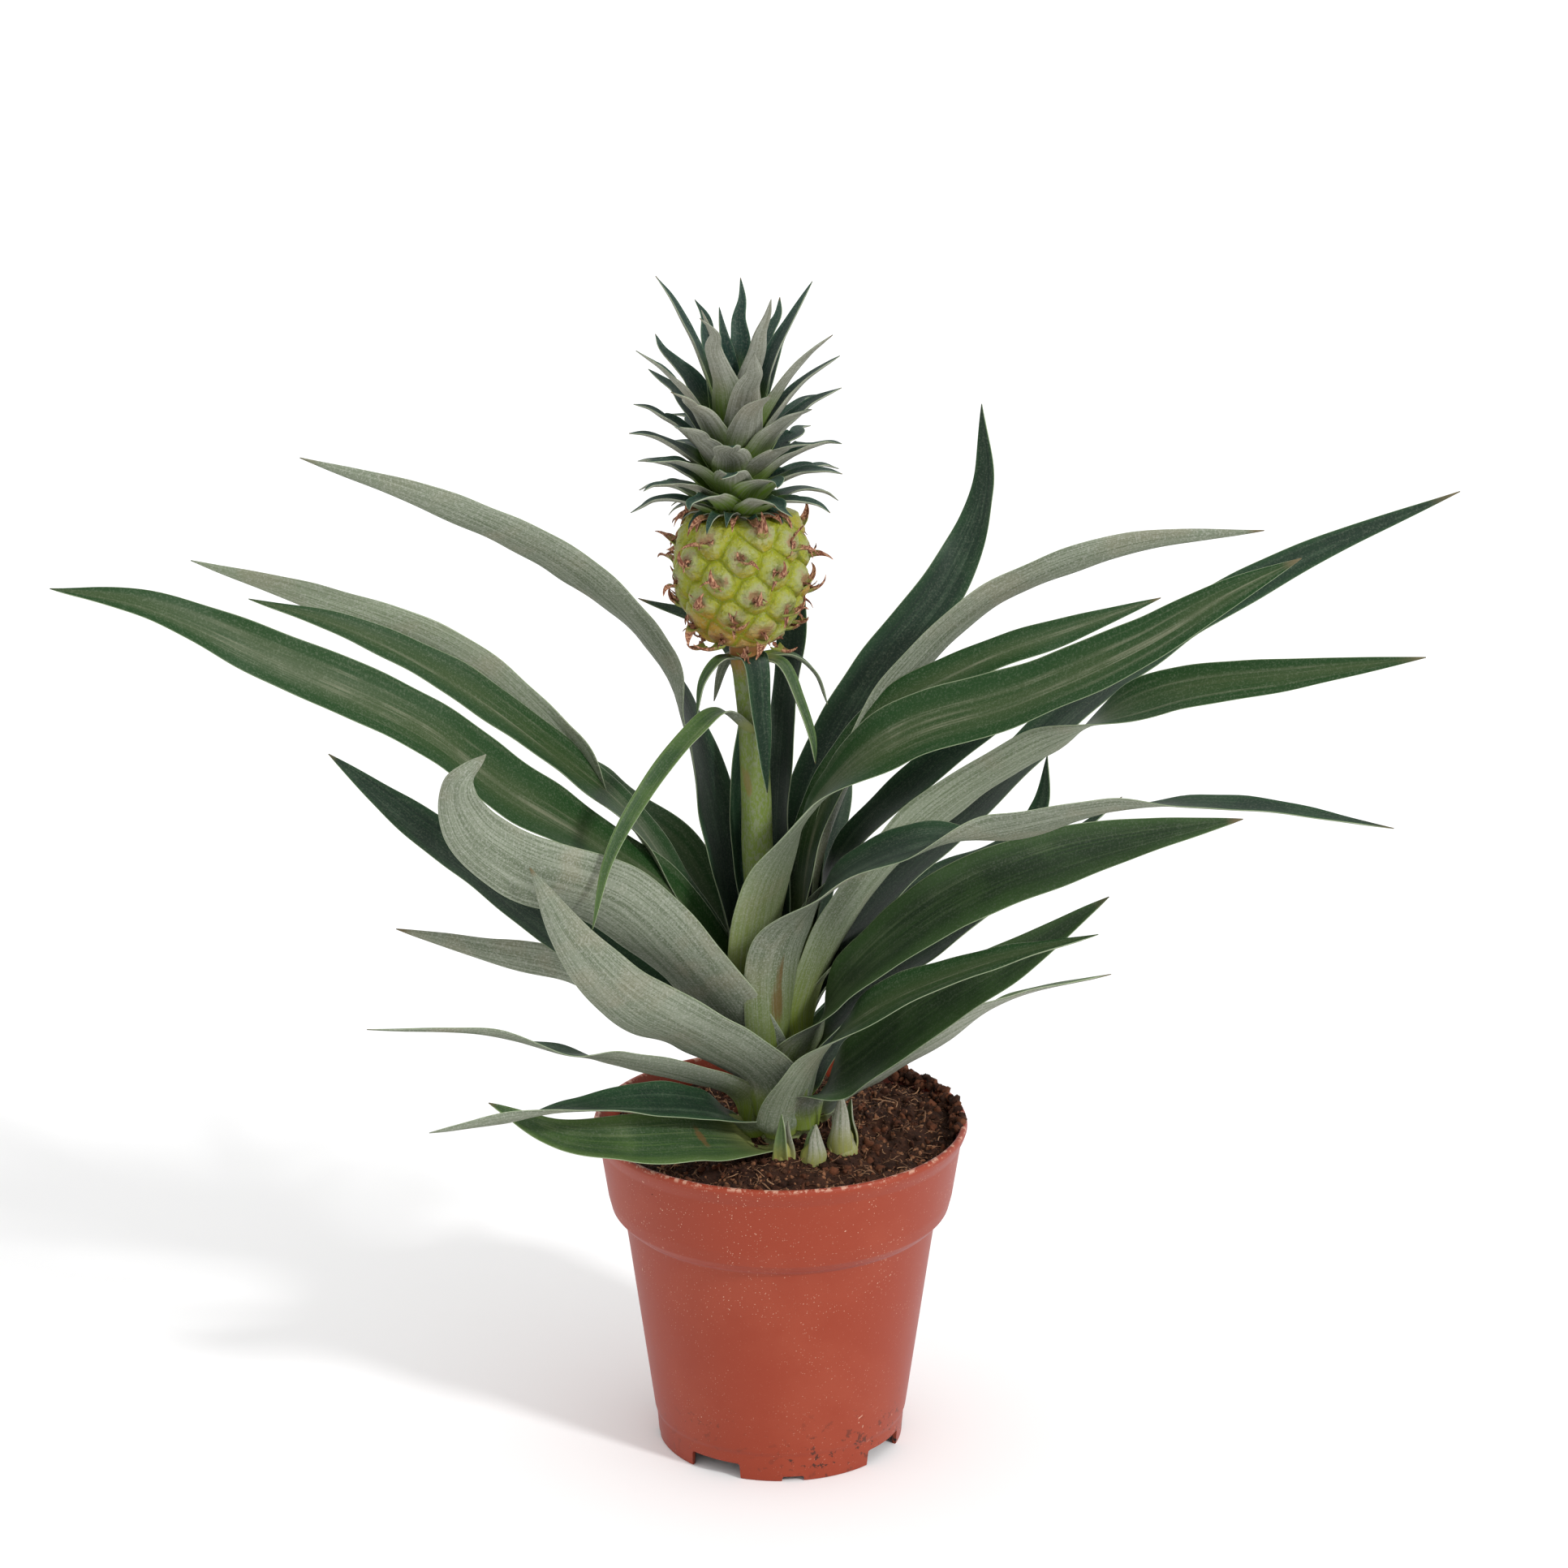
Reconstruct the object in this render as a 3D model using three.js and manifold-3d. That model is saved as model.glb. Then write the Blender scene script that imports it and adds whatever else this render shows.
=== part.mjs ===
// A potted ornamental pineapple plant: a nursery pot of peat, a rosette of arching leaves,
// a stalk with its bracts, one small fruit with its crown, and three young offsets.
// Millimetres, +Z up. The origin is the middle of the pot's base, on the surface it stands on.
// The photographed side faces -Y, and +X is to the right of it.

import * as THREE from "three";
import { mergeVertices } from "three/addons/utils/BufferGeometryUtils.js";
import Module from "manifold-3d";

const wasm = await Module();
wasm.setup();

// ---------------------------------------------------------------- driving dimensions

const GAP = 0.3; // between pieces that touch
const TAPER = 2.6; // how late a blade narrows to its point
const GOLDEN_ANGLE = THREE.MathUtils.degToRad(137.508); // from one leaf or eye to the next

const POT = {
  height: 110,
  rimRadius: 60.5,
  collarBottom: 80,
  collarRadius: 56.1,
  shoulderRadius: 50.5,
  footRadius: 39.9,
  wall: 1.5,
  floorHeight: 6.2,
  sides: 36,
};

// Gaps in the foot ring, as angles from the front: four wide ones that drain, four shallow ones.
const FOOT_NOTCHES = [
  { angle: -32, width: 19, height: 5.4 },
  { angle: 6, width: 8, height: 1.8 },
];
const DRAIN_HOLE = { radius: 4.2, reach: 32 };

const SOIL = { edgeHeight: 103, mound: 3.5, bump: 0.9, sides: 32 };
const HEAP = { at: [44, 20], height: 5, spread: 26 }; // soil pushed up against the rim

// The plant's axis leans a little to the left on its way up.
const AXIS = [
  [0, 0, 84], [0, 0, 104], [-2, 0, 132], [-5, 0, 165], [-7, 0, 200], [-8.5, 0, 240], [-11, 0, 268],
];
const STEM = { bottom: 86, top: 166, soilRadius: 12, topRadius: 6, sides: 14 };
const STALK = { bottomRadius: 5.2, topRadius: 4.4, sides: 12, steps: 6 };

const FRUIT = { bottom: 268, length: 43.5, radius: 19.6, centre: -12, sides: 36, rows: 14 };
const EYES = { count: 46, size: 6.8, relief: 2.1, bractLength: [4.2, 7], bractWidth: 5.0, bractRoot: 3 };

const CROWN = { coreLength: 38, bottomRadius: 10, topRadius: 3.5, centre: -13.5, leaves: 28 };

const LEAF = {
  thickness: 1.2, // at the rib
  marginThickness: 0.8,
  tipWidth: 1.4,
  clasp: 74, // half angle of the section where it clasps the stem, in degrees
  channel: 26, // half angle of the section along the open blade
  baseWidth: 0.35, // where it clasps the stem, as a share of the widest width
  narrow: 19.5, // below this width the section has two facets, and above it three
};

// Each leaf: the height of its node on the stem, its widest width, and the path of its middle
// as [x, y, z, roll]. Roll turns the blade about its own length, in degrees; with no roll the
// upper face looks up and in to the stem. The list runs from the innermost leaf outwards.
const LEAVES = [
  { name: "leaf_back_tall", node: 160, width: 19,
    path: [[-2, 9, 172, -30], [-1, 16, 204, -40], [1.5, 20, 243, -35], [4.5, 22, 272, -10],
      [4, 24, 304, -5]] },
  { name: "leaf_back_hooked", node: 158, width: 15,
    path: [[-8, 10, 172, -5], [-12, 18, 212, -10], [-9, 22, 246, -20], [-20, 25, 267, -20],
      [-45, 26, 277, -15]] },
  { name: "leaf_right_tall", node: 156, width: 20.5,
    path: [[5, 11, 172, 0], [10, 22, 212, 5], [30, 38, 247, 15], [54.5, 54, 276, 40], [65.5, 66, 302, 5],
      [65, 72, 329, 0]] },
  { name: "leaf_right_arch", node: 154, width: 18,
    path: [[7, 7, 171, 0], [18, 14, 215, -40], [38, 20, 251, -55], [68, 26, 278, -60], [110, 32, 293, -85],
      [154, 38, 296, -90]] },
  { name: "leaf_left_high", node: 152, width: 20.5,
    path: [[-11, 6, 158, -30], [-20, 14, 207, -50], [-29, 14, 241, -35], [-40, 6, 268, 10],
      [-66, -14, 299.5, 40], [-104, -38, 326, 60], [-142, -58, 344.5, 65]] },
  { name: "leaf_left_grey", node: 150, width: 25,
    path: [[-16, 9, 160, -30], [-32, 12, 193, -35], [-53, 10, 217, -5], [-70, 5, 238, 30],
      [-102, 1, 266.5, 45], [-141, -4, 284.5, 70], [-182, -8, 299, 70]] },
  { name: "leaf_right_inner", node: 148, width: 19,
    path: [[5, 4, 170, 0], [11, 5, 210, 15], [30, 8, 242, 15], [61, 14, 259, 30], [92, 22, 268, 60],
      [121, 30, 276, 65]] },
  { name: "leaf_right_short", node: 146, width: 19,
    path: [[9, 6, 177, -30], [23, 8, 202, 5], [46, 11, 224, 20], [69, 16, 241, 40], [85, 20, 253, 40]] },
  { name: "leaf_right_main", node: 144, width: 27,
    path: [[-8, -9, 158, -15], [-3, -16, 196, -20], [12, -21, 227, 10], [37, -28, 249, 45],
      [72, -38, 264, 50], [108, -46, 283, 60], [134, -50, 300, 75], [156, -52, 312, 80]] },
  { name: "leaf_right_far", node: 142, width: 23,
    path: [[8, 5, 153, 0], [27, 9, 179, 10], [62, 20, 210, 10], [93, 34, 236.5, 10], [128, 46, 261, 25],
      [167, 54, 282, 60], [219, 60, 303, 65]] },
  { name: "leaf_left_green", node: 140, width: 21,
    path: [[-15, 2, 155, -25], [-29, 0, 184, -20], [-46, -3, 213, -15], [-66, -8, 233, -25],
      [-101, -18, 263.5, -40], [-132, -26, 282.5, -45], [-162, -30, 293, -45]] },
  { name: "leaf_right_level", node: 138, width: 23,
    path: [[8, -2, 151, -15], [22, -6, 185, -25], [48, -12, 218, -40], [80, -19, 242, -40],
      [119, -28, 262.5, 45], [158, -36, 271, 70], [196, -42, 278, 75]] },
  { name: "leaf_left_long", node: 136, width: 26,
    path: [[-14, -3, 152, -30], [-31, -14, 187, -25], [-56, -24, 212, -20], [-83, -34, 233, -40],
      [-109, -44, 257, -45], [-154, -56, 283, -65], [-189, -62, 300.5, -55], [-217, -64, 306, -50]] },
  { name: "leaf_rear_high", node: 134, width: 20,
    path: [[2, 14, 150, 0], [10, 40, 178, 0], [18, 68, 196, 0], [22, 98, 202, 0]] },
  { name: "leaf_right_twisted", node: 132, width: 25,
    path: [[-2, -13, 146, -5], [1, -22, 179, -20], [17, -32, 203, 15], [40, -42, 218, 20],
      [69, -55, 227, -40], [100, -68, 239, -25], [139, -84, 245, 20], [181, -97, 242, 25]] },
  { name: "leaf_right_slim", node: 130, width: 14,
    path: [[9, 5, 146, -10], [24, 11, 168, 0], [50, 24, 184, 0], [77, 40, 191, 10], [85, 47, 201, 20],
      [87, 50, 217, 20]] },
  { name: "leaf_right_under", node: 127, width: 18,
    path: [[10, -3, 137, 0], [27, 0, 153, 0], [49, 6, 167, 5], [78, 16, 187, 15], [110, 28, 210, 15]] },
  { name: "leaf_left_dark", node: 125, width: 25,
    path: [[-12, 4, 132, -5], [-42, 4, 152, -20], [-71, 14, 171, -25], [-97, 26, 186, -25],
      [-124, 38, 202.5, -40], [-147, 48, 218, -45]] },
  { name: "leaf_left_broad", node: 123, width: 27,
    path: [[-8, -10, 138, 15], [-23, -24, 165, 30], [-50, -48, 202, 65], [-79, -70, 221, 80],
      [-93, -82, 238, 65], [-95, -86, 252, 25], [-87, -85, 261, -30]] },
  { name: "leaf_right_broad", node: 121, width: 27,
    path: [[6, -12, 137, -20], [20, -20, 164, 30], [53, -32, 196, 55], [87, -44, 215, 75],
      [113, -54, 225, 60], [140, -62, 233, 55]] },
  { name: "leaf_rear_middle", node: 119, width: 20,
    path: [[-8, 13, 130, 0], [-26, 40, 152, 0], [-42, 66, 164, 0], [-54, 92, 166, 0]] },
  { name: "leaf_left_low", node: 117, width: 18,
    path: [[-12, 7, 127, 40], [-35, 14, 137, 60], [-65, 20, 153, 75], [-95, 26, 158, 85],
      [-125, 30, 164, 85]] },
  { name: "leaf_left_front", node: 115, width: 27,
    path: [[-4, -14, 128, 20], [-23, -30, 149, 35], [-45, -50, 169, 55], [-62, -66, 194, 60],
      [-75, -78, 223, 60]] },
  { name: "leaf_rear_low", node: 113, width: 19,
    path: [[8, 14, 122, 0], [26, 38, 138, 0], [40, 62, 146, 0], [50, 86, 146, 0]] },
  { name: "leaf_left_wavy", node: 112, width: 14,
    path: [[-12, -8, 121, 35], [-29, -20, 133, 45], [-51, -30, 142, 35], [-69, -38, 148.5, 0],
      [-91, -46, 157.5, 30], [-127, -60, 164, 30]] },
  { name: "leaf_right_lower", node: 111, width: 25,
    path: [[10, -9, 121, -10], [23, -14, 133, 40], [48, -26, 158, 55], [75, -38, 180, 65],
      [101, -48, 203, 65]] },
  { name: "leaf_right_front", node: 110, width: 23,
    path: [[2, -15, 118, -10], [10, -26, 141, 0], [30, -42, 165, 35], [59, -58, 184, 35],
      [96, -76, 201, 30]] },
  { name: "leaf_right_thin", node: 109, width: 17,
    path: [[15, 4, 111, -15], [32, 8, 123, -60], [54, 18, 133, -60], [77, 30, 141, -20],
      [109, 44, 143, -10]] },
  { name: "leaf_left_bent", node: 109, width: 18,
    path: [[-12, -12, 114, 10], [-23, -24, 124, -15], [-41, -40, 132, -20], [-63, -54, 136, 0],
      [-86, -62, 135, 30], [-108, -68, 133, 30]] },
  { name: "leaf_left_lowest", node: 108, width: 24,
    path: [[-11, -17, 110, 5], [-28, -36, 118, -15], [-49, -48, 122, -35], [-69, -50, 125, -50],
      [-91, -46, 134, -55]] },
];

// The bracts that hang from the stalk, written as the leaves are.
const STALK_BRACTS = [
  { width: 6.8, path: [[-9, -3, 242, 0], [-18, -10, 251, 0], [-28, -24, 247.5, -20], [-41, -42, 235.5, -30],
    [-52, -58, 219, -30], [-57, -66, 199, -30]] },
  { width: 6, path: [[-12, -3, 264, 0], [-19, -8, 264, 0], [-24, -11, 259, 0], [-26, -12, 250, 0]] },
  { width: 8, path: [[-10, -3, 262, 0], [-7.5, -7, 263, 0], [-6, -9, 245, 0], [-4, -9.5, 225, 0]] },
  { width: 6, path: [[-9, -1, 261, 0], [0, -4, 263, 0], [6, -8, 253, 0], [10, -12, 243, 0],
    [11, -14, 235, 0]] },
  { width: 7, path: [[-9, 1, 260, 0], [3, 5, 263, 0], [11, 8, 257, 0], [15, 9, 247, 0]] },
  { width: 6, path: [[-10, 2, 262, 0], [-14, 8, 262, 0], [-18, 13, 256, 0], [-21, 16, 246, 0]] },
];

// Young shoots on the soil: where each stands, its size, and how its few leaves open.
const OFFSETS = [
  { name: "offset_left", at: [1, -22], height: 15, width: 6, leaves: 3, turn: 250, spread: 3 },
  { name: "offset_middle", at: [10, -20], height: 11, width: 9, leaves: 2, turn: 300, spread: 5 },
  { name: "offset_right", at: [20, -14], height: 20, width: 9, leaves: 4, turn: 200, spread: 6 },
];
const OFFSET_ROOT = 5; // how far a shoot goes into its hole in the soil

const COLOURS = {
  pot: 0xa8553b,
  soil: 0x3b281c,
  leaf: 0x2f5b35,
  stem: 0x8b9a5e,
  stalk: 0x7f9446,
  fruit: 0xa9ab3c,
  crown: 0x77877a,
  offset: 0x7e9468,
};

// ---------------------------------------------------------------- solids

/** The closed geometry as a solid that can be joined and cut. */
function toSolid(geometry) {
  const bare = geometry.clone();
  bare.deleteAttribute("normal");
  bare.deleteAttribute("uv");
  const merged = mergeVertices(bare, 1e-4);
  const corners = merged.index.array;
  const triVerts = [];
  for (let i = 0; i < corners.length; i += 3) {
    const [a, b, c] = [corners[i], corners[i + 1], corners[i + 2]];
    if (a !== b && b !== c && c !== a) triVerts.push(a, b, c);
  }
  return new wasm.Manifold(new wasm.Mesh({
    numProp: 3,
    vertProperties: new Float32Array(merged.attributes.position.array),
    triVerts: new Uint32Array(triVerts),
  }));
}

/** A solid's largest piece, without the scraps that a cut left. */
function largestPiece(solid) {
  return solid.decompose().sort((a, b) => b.volume() - a.volume())[0];
}

/** A solid as a plain indexed geometry. */
function toGeometry(solid) {
  const mesh = solid.getMesh();
  const geometry = new THREE.BufferGeometry();
  geometry.setAttribute("position", new THREE.BufferAttribute(new Float32Array(mesh.vertProperties), 3));
  geometry.setIndex(new THREE.BufferAttribute(new Uint32Array(mesh.triVerts), 1));
  geometry.computeVertexNormals();
  return geometry;
}

/** A profile of [radius, height] turned about the Z axis. */
function turned(profile, sides) {
  const points = profile.map(([radius, height]) => new THREE.Vector2(radius, height));
  return new THREE.LatheGeometry(points, sides).rotateX(Math.PI / 2);
}

/** A box from its size, its place and its turn about Z, as a solid. */
function boxSolid(size, place, turn = 0) {
  return toSolid(new THREE.BoxGeometry(...size).translate(...place).rotateZ(turn));
}

/** An upright cylinder with its foot at the given place, as a solid. */
function cylinderSolid(radius, height, place, sides = 24) {
  const geometry = new THREE.CylinderGeometry(radius, radius, height, sides).rotateX(Math.PI / 2);
  return toSolid(geometry.translate(place[0], place[1], place[2] + height / 2));
}

const smooth = (low, high, value) => THREE.MathUtils.smoothstep(value, low, high);
const lerp = THREE.MathUtils.lerp;

// ---------------------------------------------------------------- blades

/** The value of a list of numbers part of the way along it, eased from each to the next. */
function alongList(values, part) {
  const place = part * (values.length - 1);
  const index = Math.min(Math.floor(place), values.length - 2);
  return lerp(values[index], values[index + 1], smooth(0, 1, place - index));
}

/**
 * A strap-shaped blade with a channelled section, from its rooted end to its point.
 * path holds the middle of the section as [x, y, z, roll]; shape gives width, thickness and section.
 * A clearance makes it fatter and wider all round by that much.
 */
function blade(path, shape, clearance = 0) {
  const curve = new THREE.CatmullRomCurve3(path.map(([x, y, z]) => new THREE.Vector3(x, y, z)));
  curve.curveType = "centripetal";
  const rolls = path.map(([, , , roll]) => roll);
  const last = path[path.length - 1];
  const outward = new THREE.Vector3(last[0] - path[0][0], last[1] - path[0][1], 0).normalize();
  const upAndIn = new THREE.Vector3(0, 0, 1).sub(outward);
  const upper = [];
  const lower = [];
  for (let i = 0; i <= shape.along; i++) {
    const part = i / shape.along;
    const centre = curve.getPoint(part);
    const tangent = curve.getTangent(part);
    const normal = upAndIn.clone().addScaledVector(tangent, -upAndIn.dot(tangent)).normalize();
    normal.applyAxisAngle(tangent, THREE.MathUtils.degToRad(alongList(rolls, part)));
    const side = new THREE.Vector3().crossVectors(tangent, normal);
    const base = lerp(shape.baseWidth, 1, smooth(0, 0.18, part));
    const taper = base * (1 - part ** TAPER);
    const halfWidth = (shape.width * taper + shape.tipWidth) / 2 + clearance;
    const halfAngle = THREE.MathUtils.degToRad(lerp(shape.clasp, shape.channel, smooth(0, 0.3, part)));
    const radius = halfWidth / halfAngle;
    const middle = (radius * (1 - Math.cos(halfAngle))) / 2;
    for (let j = 0; j <= shape.across; j++) {
      const across = (2 * j) / shape.across - 1;
      const angle = across * halfAngle;
      const half = lerp(shape.thickness, shape.marginThickness, Math.abs(across)) / 2 + clearance;
      const point = centre.clone()
        .addScaledVector(side, radius * Math.sin(angle))
        .addScaledVector(normal, radius * (1 - Math.cos(angle)) - middle);
      const out = normal.clone().multiplyScalar(Math.cos(angle)).addScaledVector(side, -Math.sin(angle));
      upper.push(point.clone().addScaledVector(out, half));
      lower.push(point.clone().addScaledVector(out, -half));
    }
  }
  return toSolid(sheetGeometry(upper, lower, shape.along, shape.across));
}

/** A closed sheet between two grids of points, both split into triangles alike. */
function sheetGeometry(upper, lower, along, across) {
  const row = across + 1;
  const count = upper.length;
  const index = [];
  const quad = (a, b, c, d) => index.push(a, b, c, a, c, d);
  for (let i = 0; i < along; i++) {
    for (let j = 0; j < across; j++) {
      const a = i * row + j;
      const [b, c, d] = [a + row, a + row + 1, a + 1];
      index.push(a, c, b, a, d, c);
      quad(count + a, count + b, count + c, count + d);
    }
    const left = i * row;
    const right = left + across;
    quad(left, left + row, count + left + row, count + left);
    quad(right + row, right, count + right, count + right + row);
  }
  for (let j = 0; j < across; j++) {
    const tip = along * row + j;
    quad(j, count + j, count + j + 1, j + 1);
    quad(tip, tip + 1, count + tip + 1, count + tip);
  }
  const geometry = new THREE.BufferGeometry();
  const positions = [...upper, ...lower].flatMap((point) => point.toArray());
  geometry.setAttribute("position", new THREE.Float32BufferAttribute(positions, 3));
  geometry.setIndex(index);
  return geometry;
}

/** The shape of a small blade: a bract, or a leaf of the crown or of an offset. */
function smallBlade(width, overrides = {}) {
  return {
    width, tipWidth: 0.9, baseWidth: 1, thickness: 1.0, marginThickness: 0.8,
    clasp: 50, channel: 30, across: 2, along: 5, ...overrides,
  };
}

// ---------------------------------------------------------------- pot and soil

function makePot() {
  const { height, rimRadius, collarBottom, collarRadius } = POT;
  const { shoulderRadius, footRadius, wall, floorHeight } = POT;
  const outside = [
    [footRadius, 0],
    [footRadius + 0.7, 9],
    [footRadius + 1.3, 10.5],
    [shoulderRadius - 1.4, 68],
    [shoulderRadius, collarBottom - 2.5],
    [collarRadius - 3.4, collarBottom - 0.8],
    [collarRadius - 1.4, collarBottom + 1.6],
    [collarRadius, collarBottom + 7],
    [collarRadius + 1.2, height - 14],
    [rimRadius - 2.4, height - 6.5],
    [rimRadius - 0.5, height - 4.8],
    [rimRadius, height - 2.4],
    [rimRadius - 0.5, height],
  ];
  const inside = [
    [rimRadius - 1.9, height],
    [rimRadius - 3.9, height - 6.5],
    [collarRadius - 0.4, height - 14],
    [collarRadius - wall, collarBottom + 7],
    [shoulderRadius - wall, collarBottom - 2],
    [footRadius + 1.3 - wall, floorHeight + wall],
    [0, floorHeight + wall],
  ];
  const underside = [[0, floorHeight], [footRadius - wall - 0.2, floorHeight], [footRadius - wall, 0]];
  let pot = toSolid(turned([...underside, ...outside, ...inside], POT.sides));
  for (let quarter = 0; quarter < 4; quarter++) {
    for (const notch of FOOT_NOTCHES) {
      const turn = THREE.MathUtils.degToRad(notch.angle + quarter * 90);
      const size = [notch.width, 10, 2 * notch.height];
      pot = pot.subtract(boxSolid(size, [0, -footRadius, 0], turn));
    }
    const around = THREE.MathUtils.degToRad(FOOT_NOTCHES[0].angle + quarter * 90 - 90);
    const place = [DRAIN_HOLE.reach * Math.cos(around), DRAIN_HOLE.reach * Math.sin(around), 1];
    pot = pot.subtract(cylinderSolid(DRAIN_HOLE.radius, floorHeight + wall + 1, place, 16));
  }
  return pot;
}

/** The height of the uneven soil surface above its edge. */
function soilRise(x, y) {
  const radius = Math.hypot(x, y);
  const mound = SOIL.mound * (1 - smooth(10, 46, radius));
  const fromHeap = Math.hypot(x - HEAP.at[0], y - HEAP.at[1]) / HEAP.spread;
  const heap = HEAP.height * Math.exp(-(fromHeap ** 2));
  const broad = Math.sin(0.31 * x + 1.3) * Math.cos(0.27 * y);
  const fine = 0.7 * Math.sin(0.53 * (x - y)) * Math.cos(0.47 * x + 0.33 * y);
  return mound + heap + SOIL.bump * (broad + fine) * (1 - smooth(48, 55, radius));
}

function makeSoil() {
  const { collarBottom, collarRadius, shoulderRadius, footRadius, wall, floorHeight, height } = POT;
  const inset = wall + GAP + 0.2;
  const bottom = floorHeight + wall + GAP;
  const edge = collarRadius - 0.4 - GAP;
  const side = [
    [0, bottom],
    [footRadius + 1.2 - inset, bottom],
    [shoulderRadius - inset - 0.3, collarBottom - 2],
    [collarRadius - inset - 0.4, collarBottom + 7],
    [edge - 0.3, height - 14],
    [edge + 0.6, SOIL.edgeHeight - 1.5],
  ];
  const topRadii = [52, 45, 38, 31, 24, 15];
  const top = topRadii.map((radius) => [radius, SOIL.edgeHeight]);
  const geometry = turned([...side, ...top, [0, SOIL.edgeHeight]], SOIL.sides);
  const position = geometry.attributes.position;
  for (let i = 0; i < position.count; i++) {
    if (position.getZ(i) < SOIL.edgeHeight - 0.1) continue;
    position.setZ(i, SOIL.edgeHeight + soilRise(position.getX(i), position.getY(i)));
  }
  let soil = toSolid(geometry);
  soil = soil.subtract(cylinderSolid(STEM.soilRadius + GAP, 60, [0, 0, STEM.bottom - GAP], 28));
  for (const { at, width } of OFFSETS) {
    const hole = cylinderSolid(width / 2 + GAP, 30, [...at, SOIL.edgeHeight - OFFSET_ROOT], 16);
    soil = soil.subtract(hole);
  }
  return largestPiece(soil);
}

// ---------------------------------------------------------------- stem, stalk and leaves

const plantAxis = new THREE.CatmullRomCurve3(AXIS.map((point) => new THREE.Vector3(...point)));
plantAxis.curveType = "centripetal";

/** The point of the plant's axis at a height. */
function axisAt(height) {
  let [low, high] = [0, 1];
  for (let step = 0; step < 30; step++) {
    const middle = (low + high) / 2;
    if (plantAxis.getPoint(middle).z < height) low = middle;
    else high = middle;
  }
  return plantAxis.getPoint(low);
}

/** The stem's radius at a height. */
function stemRadius(height) {
  return lerp(STEM.soilRadius, STEM.topRadius, smooth(100, STEM.top, height));
}

/** A round bar that follows the plant's axis, with its radius given as a function of height. */
function barAlongAxis(bottom, top, steps, sides, radiusAt) {
  const rings = [];
  for (let i = 0; i <= steps; i++) rings.push(lerp(bottom, top, i / steps));
  const geometry = turned([[0, bottom], ...rings.map((z) => [radiusAt(z), z]), [0, top]], sides);
  const position = geometry.attributes.position;
  for (let i = 0; i < position.count; i++) {
    const centre = axisAt(position.getZ(i));
    position.setX(i, position.getX(i) + centre.x);
    position.setY(i, position.getY(i) + centre.y);
  }
  return toSolid(geometry);
}

function makeStem(clearance = 0) {
  return barAlongAxis(STEM.bottom, STEM.top + clearance, 8, STEM.sides, (z) => stemRadius(z) + clearance);
}

function makeStalk(clearance = 0) {
  const { bottomRadius, topRadius, sides, steps } = STALK;
  const radiusAt = (z) => lerp(bottomRadius, topRadius, smooth(STEM.top, FRUIT.bottom, z)) + clearance;
  const [bottom, top] = [STEM.top + GAP - clearance, FRUIT.bottom - GAP + clearance];
  let stalk = barAlongAxis(bottom, top, steps, sides, radiusAt);
  for (const { path, width } of STALK_BRACTS) {
    stalk = stalk.add(blade(path, smallBlade(width, { along: 6, clasp: 40 }), clearance));
  }
  return largestPiece(stalk.subtract(makeFruit(GAP - clearance)));
}

/** A leaf, from where it clasps the stem at its node out to its point. */
function makeLeaf({ node, width, path }, clearance = 0) {
  const centre = axisAt(node);
  const away = new THREE.Vector2(path[0][0] - centre.x, path[0][1] - centre.y).normalize();
  const reach = stemRadius(node) + LEAF.thickness / 2 + GAP;
  const root = [centre.x + reach * away.x, centre.y + reach * away.y, node, path[0][3] / 2];
  const shape = { ...LEAF, width, across: width < LEAF.narrow ? 2 : 3, along: path.length + 3 };
  return blade([root, ...path], shape, clearance);
}

/** Whether the boxes round two solids meet. */
function boxesMeet(first, second) {
  const [a, b] = [first.boundingBox(), second.boundingBox()];
  return [0, 1, 2].every((axis) => a.min[axis] < b.max[axis] && b.min[axis] < a.max[axis]);
}

/** Trims each leaf, from the innermost outwards, where it lies against what is already there. */
function makeLeaves(neighbours) {
  const inTheWay = [...neighbours];
  const solids = new Map();
  for (const leaf of LEAVES) {
    let solid = makeLeaf(leaf);
    for (const other of inTheWay) {
      if (boxesMeet(solid, other)) solid = solid.subtract(other);
    }
    solids.set(leaf.name, largestPiece(solid));
    inTheWay.push(makeLeaf(leaf, GAP));
  }
  return solids;
}

/** An offset: a short root in its hole, and pointed leaves that stand round it. */
function makeOffset({ at, height, width, leaves, turn, spread }, neighbours) {
  const floor = SOIL.edgeHeight - OFFSET_ROOT + GAP;
  let offset = cylinderSolid(width / 2, OFFSET_ROOT + 4, [...at, floor], 8);
  for (let i = 0; i < leaves; i++) {
    const around = THREE.MathUtils.degToRad(turn) + i * GOLDEN_ANGLE;
    const lean = (radius, z) => [at[0] + radius * Math.cos(around), at[1] + radius * Math.sin(around), z, 0];
    const top = SOIL.edgeHeight + 3 + height * (1 - 0.22 * i);
    const middle = lerp(floor, top, 0.55);
    const path = [lean(width * 0.2, floor + 4), lean(width * 0.42, middle), lean(spread * 0.7, top)];
    offset = offset.add(blade(path, smallBlade(width * 0.85, { clasp: 60, channel: 40, along: 3 })));
  }
  for (const other of neighbours) {
    if (boxesMeet(offset, other)) offset = offset.subtract(other);
  }
  return largestPiece(offset);
}

// ---------------------------------------------------------------- fruit and crown

/** The fruit's smooth radius part of the way up it. */
function fruitRadius(part) {
  const barrel = Math.sin(Math.PI * (0.07 + 0.76 * part)) ** 0.4;
  return FRUIT.radius * barrel * lerp(0.93, 1.04, part);
}

/** Where the eyes sit: an even spiral from the bottom of the fruit to its top. */
function eyePlaces() {
  const places = [];
  for (let i = 0; i < EYES.count; i++) {
    const part = (i + 0.6) / EYES.count;
    places.push({ around: i * GOLDEN_ANGLE, part, height: FRUIT.length * part });
  }
  return places;
}

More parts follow.
